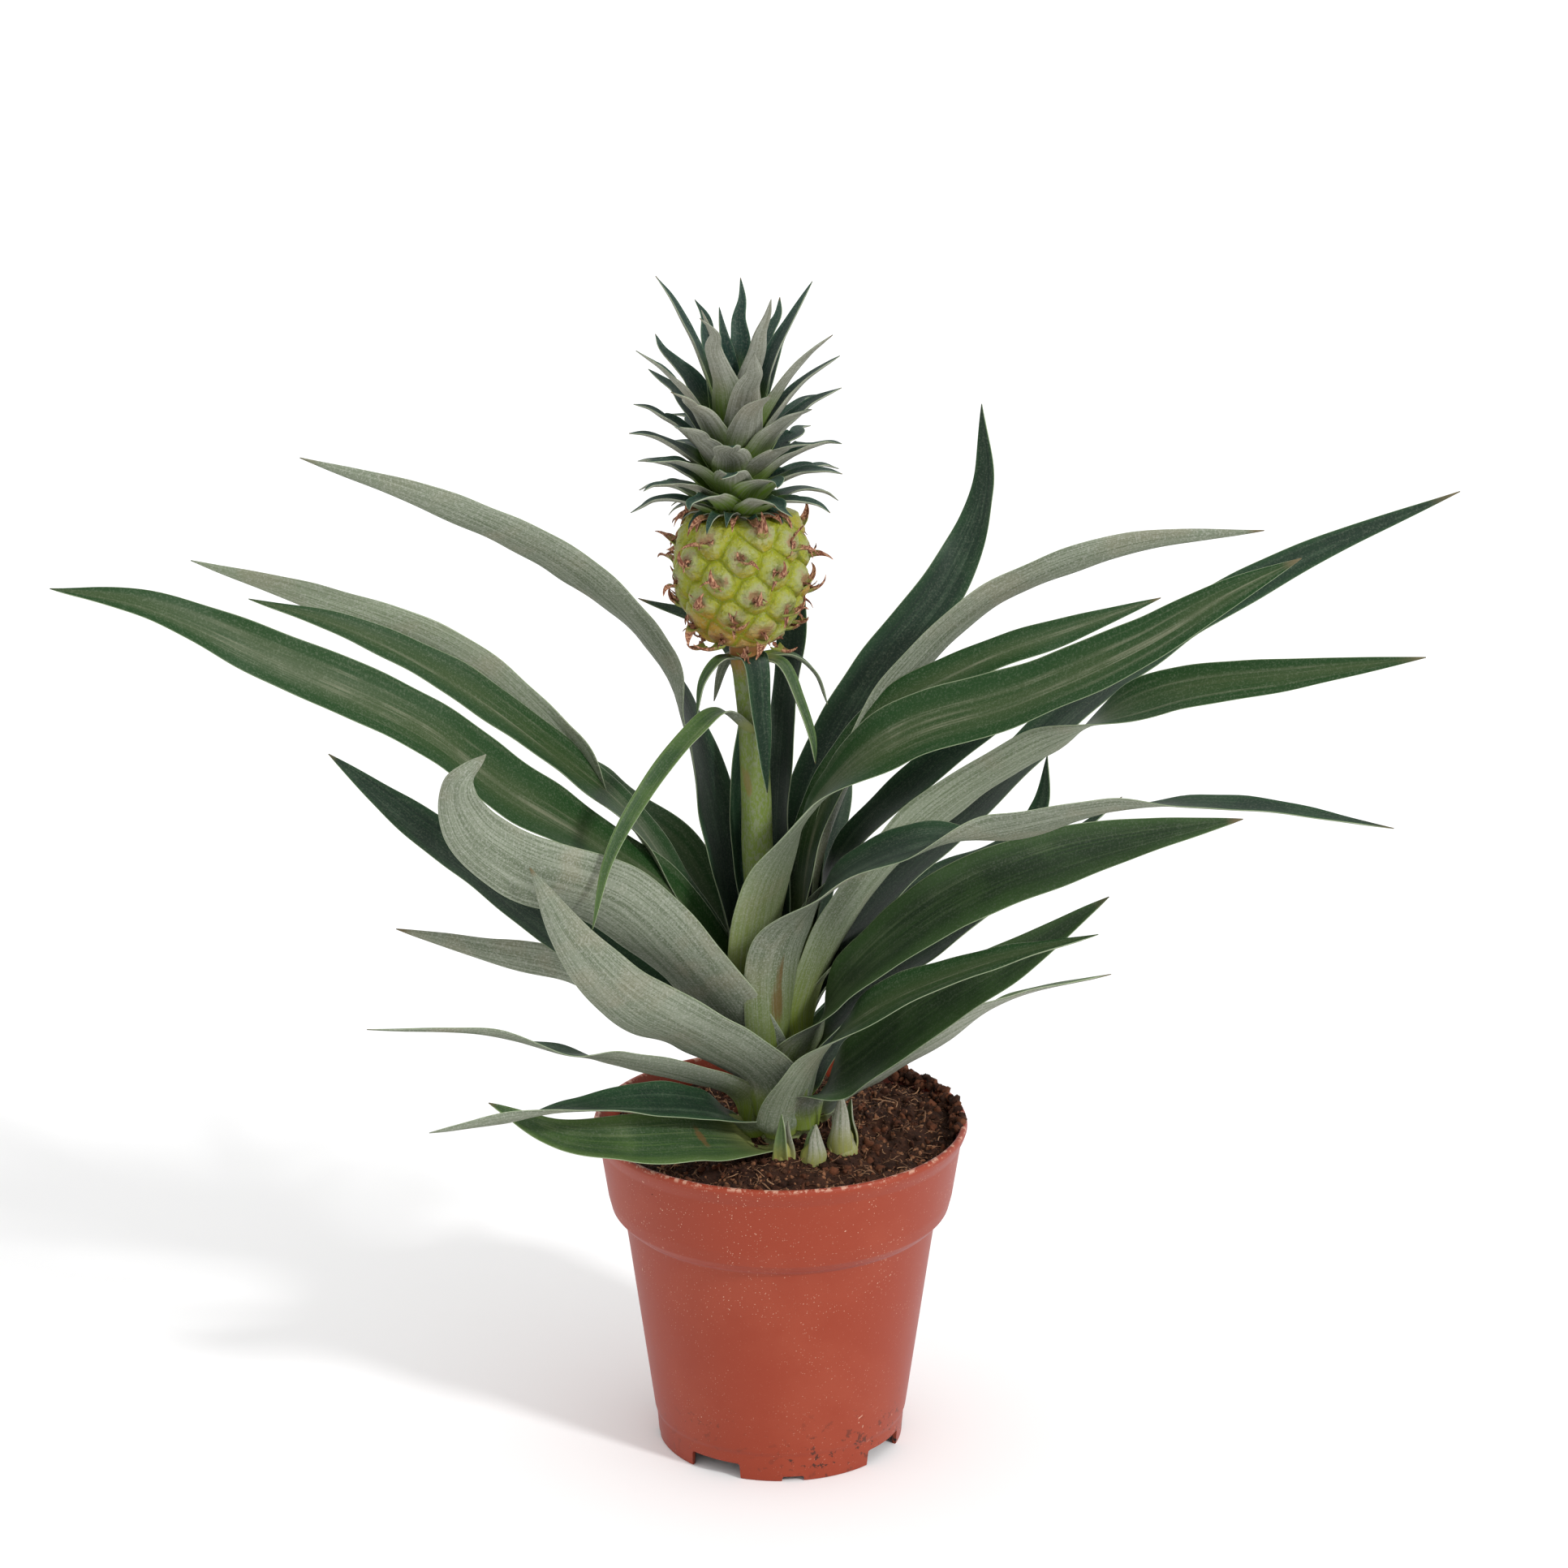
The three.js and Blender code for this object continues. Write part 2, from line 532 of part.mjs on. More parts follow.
/** How far the skin stands out at a place on the fruit: each eye is a low dome between seams. */
function eyeRelief(around, height, radius, eyes) {
  let nearest = Infinity;
  for (const eye of eyes) {
    const turn = Math.atan2(Math.sin(around - eye.around), Math.cos(around - eye.around));
    nearest = Math.min(nearest, Math.hypot(turn * radius, height - eye.height));
  }
  return EYES.relief * Math.max(0, 1 - (nearest / EYES.size) ** 2);
}

function makeFruit(clearance = 0) {
  const eyes = eyePlaces();
  const length = FRUIT.length + 2 * clearance;
  const profile = [[0, -clearance]];
  for (let i = 0; i <= FRUIT.rows; i++) {
    const part = i / FRUIT.rows;
    profile.push([fruitRadius(part) + clearance, length * part - clearance]);
  }
  profile.push([0, FRUIT.length + clearance]);
  const geometry = turned(profile, FRUIT.sides);
  const position = geometry.attributes.position;
  for (let i = 0; i < position.count; i++) {
    const [x, y, z] = [position.getX(i), position.getY(i), position.getZ(i)];
    const radius = Math.hypot(x, y);
    if (radius < 1) continue;
    const grown = 1 + eyeRelief(Math.atan2(y, x), z, radius, eyes) / radius;
    position.setXYZ(i, x * grown, y * grown, z);
  }
  let fruit = toSolid(geometry);
  for (const eye of eyes) fruit = fruit.add(eyeBract(eye, clearance));
  return largestPiece(fruit.translate(FRUIT.centre, 0, FRUIT.bottom));
}

/** The pointed bract of one eye: a small spike, rooted in the dome and bent upwards. */
function eyeBract({ around, part, height }, clearance) {
  const { bractLength, bractWidth, bractRoot } = EYES;
  const length = lerp(...bractLength, part) + bractRoot + 3 * clearance;
  const spike = new THREE.ConeGeometry(bractWidth / 2 + 2 * clearance, length, 3);
  spike.translate(0, length / 2 - bractRoot, 0);
  const tilt = lerp(-100, -50, part);
  spike.scale(1, 1, 0.5).rotateX(Math.PI / 2).rotateY(THREE.MathUtils.degToRad(-tilt));
  spike.translate(fruitRadius(part) + EYES.relief - 1.2, 0, height - 1).rotateZ(around);
  return toSolid(spike);
}

/** The crown: a short core, with leaves bent back at its foot and upright at its top. */
function makeCrown() {
  const { coreLength, bottomRadius, topRadius, leaves } = CROWN;
  const waist = [bottomRadius * 0.85, coreLength * 0.4];
  const core = [[0, 0], [bottomRadius, 0], waist, [topRadius, coreLength]];
  let crown = toSolid(turned([...core, [0, coreLength]], 10));
  for (let i = 0; i < leaves; i++) crown = crown.add(crownLeaf(i, i / (leaves - 1)));
  crown = crown.translate(CROWN.centre, 0, FRUIT.bottom + FRUIT.length + GAP);
  return largestPiece(crown.subtract(makeFruit(GAP)));
}

/** One leaf of the crown; part runs from 0 at the lowest leaf to 1 at the topmost. */
function crownLeaf(index, part) {
  const around = index * GOLDEN_ANGLE + 0.4;
  const length = lerp(25, 54, Math.min(1, part / 0.75) ** 2.4) * lerp(1, 0.62, smooth(0.8, 1, part));
  const width = lerp(10, 16, Math.sin(Math.PI * part ** 0.8));
  const foot = lerp(2.5, CROWN.coreLength - 8, part);
  const rise = lerp(26, 84, part ** 1.1);
  const bend = lerp(-64, -12, part);
  let [radius, height, angle] = [lerp(CROWN.bottomRadius, CROWN.topRadius, part) - 2.5, foot, rise];
  const path = [];
  const steps = 4;
  for (let step = 0; step <= steps; step++) {
    path.push([radius * Math.cos(around), radius * Math.sin(around), height, 0]);
    const slope = THREE.MathUtils.degToRad(angle);
    radius += (length / steps) * Math.cos(slope);
    height += (length / steps) * Math.sin(slope);
    angle += bend / steps;
  }
  return blade(path, smallBlade(width, { clasp: 55, channel: 35, along: 4 }));
}

// ---------------------------------------------------------------- assembly

const group = new THREE.Group();

function addPiece(name, solid, color, roughness = 0.7) {
  const material = new THREE.MeshStandardMaterial({ color, roughness, metalness: 0 });
  const mesh = new THREE.Mesh(toGeometry(solid), material);
  mesh.name = name;
  group.add(mesh);
}

const soil = makeSoil();
const raisedSoil = soil.translate(0, 0, GAP);
const fruitRoom = makeFruit(GAP);
const leaves = makeLeaves([makeStem(GAP), makeStalk(GAP), raisedSoil, fruitRoom]);

addPiece("pot", makePot(), COLOURS.pot, 0.55);
addPiece("soil", soil, COLOURS.soil, 1);
addPiece("stem", makeStem(), COLOURS.stem);
addPiece("stalk", makeStalk(), COLOURS.stalk);
for (const { name } of LEAVES) addPiece(name, leaves.get(name), COLOURS.leaf, 0.6);
addPiece("fruit", makeFruit(), COLOURS.fruit);
addPiece("crown", makeCrown(), COLOURS.crown);
const leafRoom = LEAVES.map((leaf) => makeLeaf(leaf, GAP));
for (const offset of OFFSETS) {
  addPiece(offset.name, makeOffset(offset, [makeStem(GAP), raisedSoil, ...leafRoom]), COLOURS.offset);
}

export default group;
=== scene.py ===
"""A potted ornamental pineapple plant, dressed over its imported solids.

Meshes are built in millimetres and scaled as they are added; shaders and cameras work in metres. The
origin is the middle of the pot's base, +Z is up, the photographed side faces -Y and +X is to its right.
"""

from __future__ import annotations

import logging
import math
import random
from collections.abc import Callable
from dataclasses import dataclass, field, replace
from enum import Enum

import bpy
import numpy as np
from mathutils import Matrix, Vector, noise

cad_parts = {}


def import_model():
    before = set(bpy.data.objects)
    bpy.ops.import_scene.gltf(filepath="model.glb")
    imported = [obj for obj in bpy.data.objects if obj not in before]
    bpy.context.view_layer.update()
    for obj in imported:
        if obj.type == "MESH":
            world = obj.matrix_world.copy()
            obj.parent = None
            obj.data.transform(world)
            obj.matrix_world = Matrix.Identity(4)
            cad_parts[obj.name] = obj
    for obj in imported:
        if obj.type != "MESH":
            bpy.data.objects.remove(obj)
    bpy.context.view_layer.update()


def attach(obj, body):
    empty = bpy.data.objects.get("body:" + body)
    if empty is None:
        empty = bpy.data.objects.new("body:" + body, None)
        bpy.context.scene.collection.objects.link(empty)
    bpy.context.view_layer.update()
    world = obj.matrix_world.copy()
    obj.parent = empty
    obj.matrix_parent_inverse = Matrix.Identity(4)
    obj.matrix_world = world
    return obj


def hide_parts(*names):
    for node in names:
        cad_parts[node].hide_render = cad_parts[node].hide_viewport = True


LOG = logging.getLogger("pineapple_plant")
MM = 0.001
GOLDEN_ANGLE = math.radians(137.508)
GOLDEN_SHARE = 0.618034  # spreads the shades of things that are made one after another
BODY = "root"

Colour = tuple[float, float, float]
Point = tuple[float, float, float]
Number = float | np.ndarray


# ---------------- small maths


def srgb(red: int, green: int, blue: int) -> Colour:
    """A display colour, 0 to 255 a channel, as the linear values that shaders take."""
    shares = (level / 255 for level in (red, green, blue))
    return tuple(s / 12.92 if s <= 0.04045 else ((s + 0.055) / 1.055) ** 2.4 for s in shares)


def lerp(low: Number, high: Number, share: Number) -> Number:
    """The value a share of the way from low to high."""
    return low + (high - low) * share


def smooth(low: float, high: float, value: Number) -> Number:
    """A smooth step from 0 at low to 1 at high."""
    share = np.clip((value - low) / (high - low), 0.0, 1.0)
    return share * share * (3 - 2 * share)


def spots(count: int, parts: np.ndarray) -> tuple[np.ndarray, np.ndarray]:
    """The entry of a list that each part, 0 to 1, lies after, and how far past it."""
    index = np.minimum((parts * (count - 1)).astype(int), count - 2)
    return index, parts * (count - 1) - index


def curve_points(points: np.ndarray, parts: np.ndarray) -> np.ndarray:
    """Points on the centripetal Catmull-Rom curve through some points.

    Args:
        points: The points that the curve goes through, one a row.
        parts: Where to read it, from 0 at the first point to 1 at the last.

    Returns:
        One row for each part.
    """
    padded = np.vstack([2 * points[0] - points[1], points, 2 * points[-1] - points[-2]])
    index, past = spots(len(points), parts)
    t = past[:, None]
    p0, p1, p2, p3 = (padded[index + k] for k in range(4))
    d0, d1, d2 = (
        np.maximum(np.sqrt(np.linalg.norm(b - a, axis=1, keepdims=True)), 1e-5)
        for a, b in ((p0, p1), (p1, p2), (p2, p3))
    )
    start = ((p1 - p0) / d0 - (p2 - p0) / (d0 + d1) + (p2 - p1) / d1) * d1
    end = ((p2 - p1) / d1 - (p3 - p1) / (d1 + d2) + (p3 - p2) / d2) * d1
    square = 3 * (p2 - p1) - 2 * start - end
    cube = 2 * (p1 - p2) + start + end
    return p1 + start * t + square * t**2 + cube * t**3


def unit(rows: np.ndarray) -> np.ndarray:
    """Each row brought to length one."""
    return rows / np.maximum(np.linalg.norm(rows, axis=-1, keepdims=True), 1e-12)


def clouds(places: np.ndarray, scale: float) -> np.ndarray:
    """Cloudy lumps of about -1 to 1 at each place."""
    rows = (places.reshape(-1, 3) * scale).tolist()
    return np.array([noise.fractal(place, 0.7, 2.2, 4) for place in rows]).reshape(places.shape[:-1])


def rings_of(radii: np.ndarray, heights: np.ndarray, sides: int, centre: tuple = (0.0, 0.0)) -> np.ndarray:
    """The rings of points of a form that is turned about an upright line.

    Args:
        radii: The radius of each ring, or of each point of each ring.
        heights: The height of each ring.
        sides: How many points a ring has.
        centre: The line's X and Y, which may be columns with a value for each ring.

    Returns:
        One row of points for each ring.
    """
    around = np.linspace(0, 2 * np.pi, sides, endpoint=False)[None, :]
    radii = radii if radii.ndim == 2 else radii[:, None]
    x, y = centre[0] + radii * np.cos(around), centre[1] + radii * np.sin(around)
    return np.stack([x, y, heights[:, None] + 0 * x], axis=-1)


# ---------------- nodes


class NodeBench:
    """Makes the nodes of one tree, with a short call for each."""

    tree: bpy.types.NodeTree

    def put(self, kind: str, inputs: dict | None = None, **settings) -> bpy.types.Node:
        """Adds one node.

        Args:
            kind: The node's type, where one without a prefix is a shader node's.
            inputs: A constant or another node's output for each named or numbered socket.
            **settings: The node's own properties.

        Returns:
            The new node.
        """
        node = self.tree.nodes.new(kind if "Node" in kind else "ShaderNode" + kind)
        for key, value in settings.items():
            setattr(node, key, value)
        for key, value in (inputs or {}).items():
            socket = node.inputs[key]
            if isinstance(value, Wire):
                self.tree.links.new(value.socket, socket)
            elif socket.type == "RGBA":
                socket.default_value = (*value[:3], 1.0)
            else:
                socket.default_value = value
        return node

    def wire(self, kind: str, output: int | str = 0, inputs: dict | None = None, **settings) -> Wire:
        """Adds one node and gives one of its outputs."""
        return Wire(self, self.put(kind, inputs, **settings).outputs[output])

    def vector(self, operation: str, first: Wire, second: Wire | float | Point) -> Wire:
        """The result of one Vector Math node, which scales by its fourth socket."""
        return self.wire("VectorMath", 0, {0: first, 3 if operation == "SCALE" else 1: second},
                         operation=operation)


def operator(operation: str, swapped: bool = False) -> Callable[..., Wire]:
    """An operator of wires.

    Args:
        operation: What its Math node does.
        swapped: Whether the wire is the second of the two values.

    Returns:
        A method that adds the node.
    """

    def result(wire: Wire, other: Wire | float = 0.0) -> Wire:
        """The result of one Math node."""
        inputs = {0: other, 1: wire} if swapped else {0: wire, 1: other}
        return wire.bench.wire("Math", 0, inputs, operation=operation)

    return result


@dataclass(frozen=True, eq=False)
class Wire:
    """A node's output, with its sums written as sums."""

    bench: NodeBench
    socket: bpy.types.NodeSocket

    __add__, __sub__, __rsub__ = operator("ADD"), operator("SUBTRACT"), operator("SUBTRACT", swapped=True)
    __mul__, __truediv__ = operator("MULTIPLY"), operator("DIVIDE")
    __pow__, __abs__ = operator("POWER"), operator("ABSOLUTE")

    def step(self, low: float, high: float) -> Wire:
        """A smooth step, from 0 at low to 1 at high."""
        inputs = {"Value": self, "From Min": low, "From Max": high}
        return self.bench.wire("MapRange", 0, inputs, interpolation_type="SMOOTHSTEP")

    def span(self, low: float, high: float) -> Wire:
        """This value, from 0 to 1, spread from low to high."""
        return self.bench.wire("MapRange", 0, {"Value": self, "To Min": low, "To Max": high})


class ShaderBench(NodeBench):
    """Makes the nodes of one material."""

    def __init__(self, name: str) -> None:
        """Starts an empty node material.

        Args:
            name: The material's name.
        """
        self.material = bpy.data.materials.new(name)
        self.material.use_nodes = True
        self.tree = self.material.node_tree
        self.tree.nodes.clear()

    def place(self) -> Wire:
        """The place on the object, in metres."""
        return self.wire("TexCoord", "Object")

    def tone(self) -> Wire:
        """The piece's own shade, from 0 to 1."""
        return self.wire("Attribute", "Fac", attribute_name="tone")

    def split(self, vector: Wire) -> tuple[Wire, ...]:
        """The X, Y and Z of a vector."""
        return tuple(Wire(self, output) for output in self.put("SeparateXYZ", {0: vector}).outputs)

    def fields(self, name: str) -> tuple[Wire, ...]:
        """The X, Y and Z of the mesh attribute of this name."""
        return self.split(self.wire("Attribute", "Vector", attribute_name=name))

    def noise(self, vector: Wire, scale: float, detail: float = 2.0, rough: float = 0.5) -> Wire:
        """Cloudy noise between about 0.3 and 0.7."""
        inputs = {"Vector": vector, "Scale": scale, "Detail": detail, "Roughness": rough}
        return self.wire("TexNoise", 0, inputs)

    def coats(self, ground: Wire | Colour, *coats: tuple[Wire, Wire | Colour]) -> Wire:
        """A colour under several others.

        Args:
            ground: The colour that lies lowest.
            *coats: The share and the colour of each coat, in the order in which they go on.

        Returns:
            The colour that shows.
        """
        for share, colour in coats:
            ground = self.wire("Mix", 2, {0: share, 6: ground, 7: colour}, data_type="RGBA")
        return ground

    def finish(
        self, colour: Wire | Colour, roughness: Wire | float, height: Wire | None = None,
        depth: float = 0.1 * MM, strength: float = 0.5, specular: float = 0.4, sheen: float = 0.0,
        subsurface: float = 0.0,
    ) -> bpy.types.Material:
        """Closes the material with a Principled shader.

        Args:
            colour: The base colour.
            roughness: The roughness.
            height: What the bump is read from, or None for no bump.
            depth: How deep the bump is, in metres.
            strength: How strongly the bump acts.
            specular: The specular level.
            sheen: The weight of a dusty sheen.
            subsurface: The weight of the light that passes under the skin.

        Returns:
            The finished material.
        """
        inputs = {
            "Base Color": colour, "Roughness": roughness, "Specular IOR Level": specular,
            "Sheen Weight": sheen, "Sheen Roughness": 0.35, "Sheen Tint": (0.78, 0.8, 1.0),
            "Subsurface Weight": subsurface, "Subsurface Scale": 2 * MM,
        }
        if height is not None:
            inputs["Normal"] = self.wire("Bump", 0, {
                "Height": height, "Distance": depth, "Strength": strength})
        self.put("OutputMaterial", {0: self.wire("BsdfPrincipled", 0, inputs)})
        return self.material


# ---------------- finishes


@dataclass(frozen=True)
class LeafFinish:
    """The colours of one kind of blade, above and below."""

    name: str
    upper: Colour  # the dark ground of the upper face
    upper_light: Colour  # the brighter green towards the margins
    streak: Colour  # the lengthwise bands, which in cloudy patches mid-blade also stand for a painted silvery highlight
    under: Colour  # the silver scurf of the underside
    under_line: Colour  # the green that shows between its lines
    base: Colour  # where the blade clasps the stem
    margin: Colour = srgb(168, 182, 146)
    dry: Colour = srgb(104, 94, 68)
    under_warm: Colour = srgb(140, 130, 108)
    under_speckle: Colour = srgb(176, 178, 168)
    scar: Colour = srgb(104, 78, 46)
    streaks: float = 0.6
    border: tuple[float, float] = (0.5, 1.0)  # where the marginal green begins and is full
    foot: tuple[float, float] = (0.1, 0.34)  # how far up the base colour may reach

    def material(self) -> bpy.types.Material:
        """Builds the node material of this finish.

        Returns:
            The material, which reads the blade's strip, tone, blade and mark attributes.
        """
        bench = ShaderBench(self.name)
        across, along, side = bench.fields("blade")
        across, tone, place = abs(across), bench.tone(), bench.place()
        strip = bench.vector("MULTIPLY", bench.wire("UVMap", "UV", uv_map="strip"), (1000.0, 16.0, 1.0))
        fibres = bench.vector("ADD", strip, bench.wire("CombineXYZ", 0, {"Z": tone * 40.0}))
        fine, bands = bench.noise(fibres, 1.7, 3.0, 0.6), bench.noise(fibres, 0.34)
        cloud, scurf = bench.noise(place, 55.0), bench.noise(place, 1500.0, 2.0, 0.7)

        edge = across.step(*self.border) * 0.8
        # Lengthwise bands: real bands, kept to cloudy patches in the middle of the blade away from the
        # margins, where they also paint a silvery highlight.
        bands_and_highlight = bands.step(0.44, 0.62) * self.streaks * fine.step(0.38, 0.6).span(0.12, 1.0)
        bands_and_highlight = bands_and_highlight * cloud.step(0.4, 0.62).span(0.35, 1.0) * (1.0 - edge)
        upper = bench.coats(
            self.upper, (edge, self.upper_light), (cloud.step(0.45, 0.7) * 0.4, self.upper_light),
            (fine.step(0.5, 0.64) * 0.4, self.upper_light), (bands_and_highlight, self.streak),
            (scurf.step(0.48, 0.68) * bands.span(0.0, 0.3), self.under))
        under = bench.coats(
            self.under, (fine.step(0.42, 0.6) * 0.72, self.under_line),
            ((1.0 - along.step(0.1, 0.5)) * 0.4, self.under_line),
            (bands.step(0.5, 0.68) * 0.22, self.under_line),
            (cloud.step(0.5, 0.72) * 0.3, self.under_warm),
            ((1.0 - across.step(0.02, 0.09)) * 0.45, self.under_line),
            (scurf.step(0.45, 0.7) * 0.42, self.under_speckle))
        foot = (1.0 - (along / tone.span(*self.foot)).step(0.25, 1.0)) * fine.step(0.35, 0.6).span(0.65, 1.0)
        scarred = bench.fields("mark")[0] + (fine - 0.5) * 0.9
        dried = (along + (cloud - 0.5) * 0.07).step(0.972, 1.0) * tone.step(0.35, 0.6).span(0.1, 1.0)
        colour = bench.coats(
            upper, (side.step(0.4, 0.6), under), (across.step(0.965, 0.995) * 0.6, self.margin),
            (foot, self.base), (scarred.step(0.3, 0.75) * 0.75, self.scar), (dried, self.dry))
        return bench.finish(colour, side.span(0.5, 0.68), fine, 0.16 * MM, 0.5, specular=0.2)


class LeafKind(Enum):
    """The finishes that the plant's blades wear."""

    DEEP = LeafFinish(
        "leaf_deep_green", srgb(24, 43, 31), srgb(38, 68, 41), srgb(68, 86, 68),
        srgb(130, 137, 119), srgb(82, 93, 70), srgb(112, 130, 44), streaks=0.55)
    MOSS = LeafFinish(
        "leaf_moss_green", srgb(34, 52, 30), srgb(58, 84, 44), srgb(82, 96, 68),
        srgb(126, 131, 119), srgb(80, 90, 70), srgb(112, 130, 44), streaks=0.7, border=(0.3, 1.0))
    OLIVE = LeafFinish(
        "leaf_olive_banded", srgb(54, 72, 39), srgb(16, 56, 16), srgb(116, 119, 96),
        srgb(138, 147, 125), srgb(88, 101, 72), srgb(124, 140, 52), streaks=0.8, border=(0.1, 0.8))
    FRESH = LeafFinish(
        "leaf_fresh_green", srgb(46, 70, 38), srgb(82, 106, 54), srgb(106, 118, 84),
        srgb(138, 142, 128), srgb(98, 108, 84), srgb(148, 154, 92), streaks=0.5)
    CROWN = LeafFinish(
        "crown_leaf", srgb(26, 50, 42), srgb(46, 76, 60), srgb(82, 98, 86),
        srgb(146, 148, 135), srgb(104, 106, 88), srgb(96, 124, 34), streaks=0.35, foot=(0.3, 0.6))
    SHOOT = LeafFinish(
        "shoot_leaf", srgb(84, 104, 66), srgb(108, 128, 80), srgb(134, 144, 114),
        srgb(152, 152, 136), srgb(94, 104, 74), srgb(158, 160, 84), streaks=0.5, foot=(0.5, 0.75))


DEEP, MOSS, OLIVE, FRESH, CROWN, SHOOT = LeafKind


@dataclass(frozen=True)
class PotFinish:
    """Matt terracotta-coloured plastic with dust, scuffs and a little peat at its foot, and painted shade on
    its underside within the foot ring.
    """

    plastic: Colour = srgb(142, 54, 30)
    worn: Colour = srgb(153, 69, 46)
    dust: Colour = srgb(214, 172, 148)
    # peat: real crumbs near the foot, and also the colour of the painted shade on the underside
    peat: Colour = srgb(52, 34, 26)
    specks: tuple[tuple, ...] = ((1400.0, 0.27, 0.74), (760.0, 0.19, 0.8), (330.0, 0.1, 0.86))
    foot: float = 38.5 * MM  # the radius within which the underside gets painted shade in the peat colour
    lip: float = 108.8 * MM  # where the chipped rim begins

    def material(self) -> bpy.types.Material:
        """Builds the node material of this finish.

        Returns:
            The material.
        """
        bench = ShaderBench("pot_terracotta_plastic")
        place = bench.place()
        height = bench.split(place)[2]
        cloud = bench.noise(place, 28.0, 4.0, 0.6)
        patchy = bench.noise(place, 60.0).step(0.42, 0.62).span(0.2, 0.85)
        bent = bench.vector("MULTIPLY", bench.noise(place, 900.0), (1.2 * MM, 1.2 * MM, 1.2 * MM))
        shaken = bench.vector("ADD", place, bent)
        coats = [(cloud.step(0.42, 0.7) * 0.5, self.worn)]
        for scale, size, keep in self.specks:
            cells = bench.put("TexVoronoi", {"Vector": shaken, "Scale": scale}).outputs
            spot = 1.0 - Wire(bench, cells["Distance"]).step(size * 0.5, size)
            chosen = bench.split(Wire(bench, cells["Color"]))[0].step(keep, keep + 0.02)
            coats.append((spot * chosen * height.step(0.02, 0.11).span(0.35, 1.0) * patchy, self.dust))
        turned = bench.wire("Mapping", 0, {
            "Vector": place, "Rotation": (0.5, 0.9, 0.2), "Scale": (60.0, 900.0, 500.0)})
        scratch = bench.noise(turned, 1.0, 1.0).step(0.73, 0.78)
        coats.append((scratch * bench.noise(place, 35.0, 1.0).step(0.56, 0.64) * 0.7, self.dust))
        crumbs = bench.noise(place, 330.0, 3.0, 0.7).step(0.58, 0.63)
        here = bench.noise(place, 36.0).step(0.5, 0.58).span(0.25, 1.0)
        coats.append((crumbs * here * (1.0 - height.step(0.0, 0.03)), self.peat))
        flat = bench.vector("MULTIPLY", place, (1.0, 1.0, 0.0))
        radius = bench.wire("VectorMath", "Value", {0: flat}, operation="LENGTH")
        # Painted shade: within the foot ring the underside is darkened with the peat colour, up to about 7 mm
        # high.
        shaded_underside = 1.0 - radius.step(self.foot, self.foot + 0.5 * MM)
        coats.append((shaded_underside * (0.9 - height.step(6.6 * MM, 7 * MM)), self.peat))
        chipped = bench.noise(place, 420.0, 3.0, 0.65).step(0.5, 0.6)
        coats.append((height.step(self.lip, self.lip + 1.1 * MM) * chipped * 0.6, self.dust))
        colour, grain = bench.coats(self.plastic, *coats), bench.noise(place, 2200.0)
        return bench.finish(
            colour, cloud.span(0.4, 0.62), grain, 0.03 * MM, 0.35, specular=0.3, sheen=0.1)


@dataclass(frozen=True)
class PeatFinish:
    """Moist peat: dark crumbs, and the paler fibres and splinters among them."""

    name: str
    dark: Colour
    light: Colour
    roughness: float = 0.9
    grain: float = 900.0

    def material(self) -> bpy.types.Material:
        """Builds the node material of this finish.

        Returns:
            The material, which reads the tone attribute.
        """
        bench = ShaderBench(self.name)
        place = bench.place()
        share = bench.tone() * 0.55 + bench.noise(place, self.grain * 0.25, 3.0, 0.65) * 0.5
        grain = bench.noise(place, self.grain, 4.0, 0.7)
        colour = bench.coats(
            self.dark, (share.step(0.3, 0.85), self.light), (grain.step(0.5, 0.7) * 0.35, self.light))
        return bench.finish(colour, self.roughness, grain, 0.8 * MM, 0.8, specular=0.25)


@dataclass(frozen=True)
class FruitFinish:
    """The skin of the young fruit: silver-green eyes between yellow-green seams."""

    silver: Colour = srgb(148, 152, 104)
    flesh: Colour = srgb(142, 146, 30)
    olive: Colour = srgb(98, 106, 34)
    seam: Colour = srgb(134, 142, 8)
    gold: Colour = srgb(164, 112, 34)
    blush: Colour = srgb(142, 92, 66)

    def material(self) -> bpy.types.Material:
        """Builds the node material of this finish.

        Returns:
            The material, which reads the eye and tone attributes.
        """
        bench = ShaderBench("fruit_skin")
        place = bench.place()
        height = bench.split(place)[2]
        out, seam, up = bench.fields("eye")
        fine, cloud = bench.noise(place, 1100.0, 3.0, 0.65), bench.noise(place, 260.0, 4.0, 0.65)
        ragged = out + (cloud - 0.5) * 1.5
        low = 0.25 - height.step(0.268, 0.3) * 0.3
        warm = bench.tone() * 0.35 + bench.noise(place, 70.0) + low
        colour = bench.coats(
            self.silver, (ragged.step(0.25, 0.8), self.flesh), (cloud.step(0.52, 0.64) * 0.55, self.olive),
            (warm.step(0.6, 0.95) * 0.65, self.gold), ((up * -1.0).step(0.1, 0.8) * 0.25, self.gold),
            ((1.0 - seam.step(0.02, 0.22)) * 0.8, self.seam), (fine.step(0.52, 0.66) * 0.55, self.silver),
            ((1.0 - ragged.step(0.05, 0.42)) * 0.7, self.blush))
        skin = fine + cloud * 3.0
        return bench.finish(colour, 0.5, skin, 0.4 * MM, 0.8, specular=0.32, subsurface=0.08)


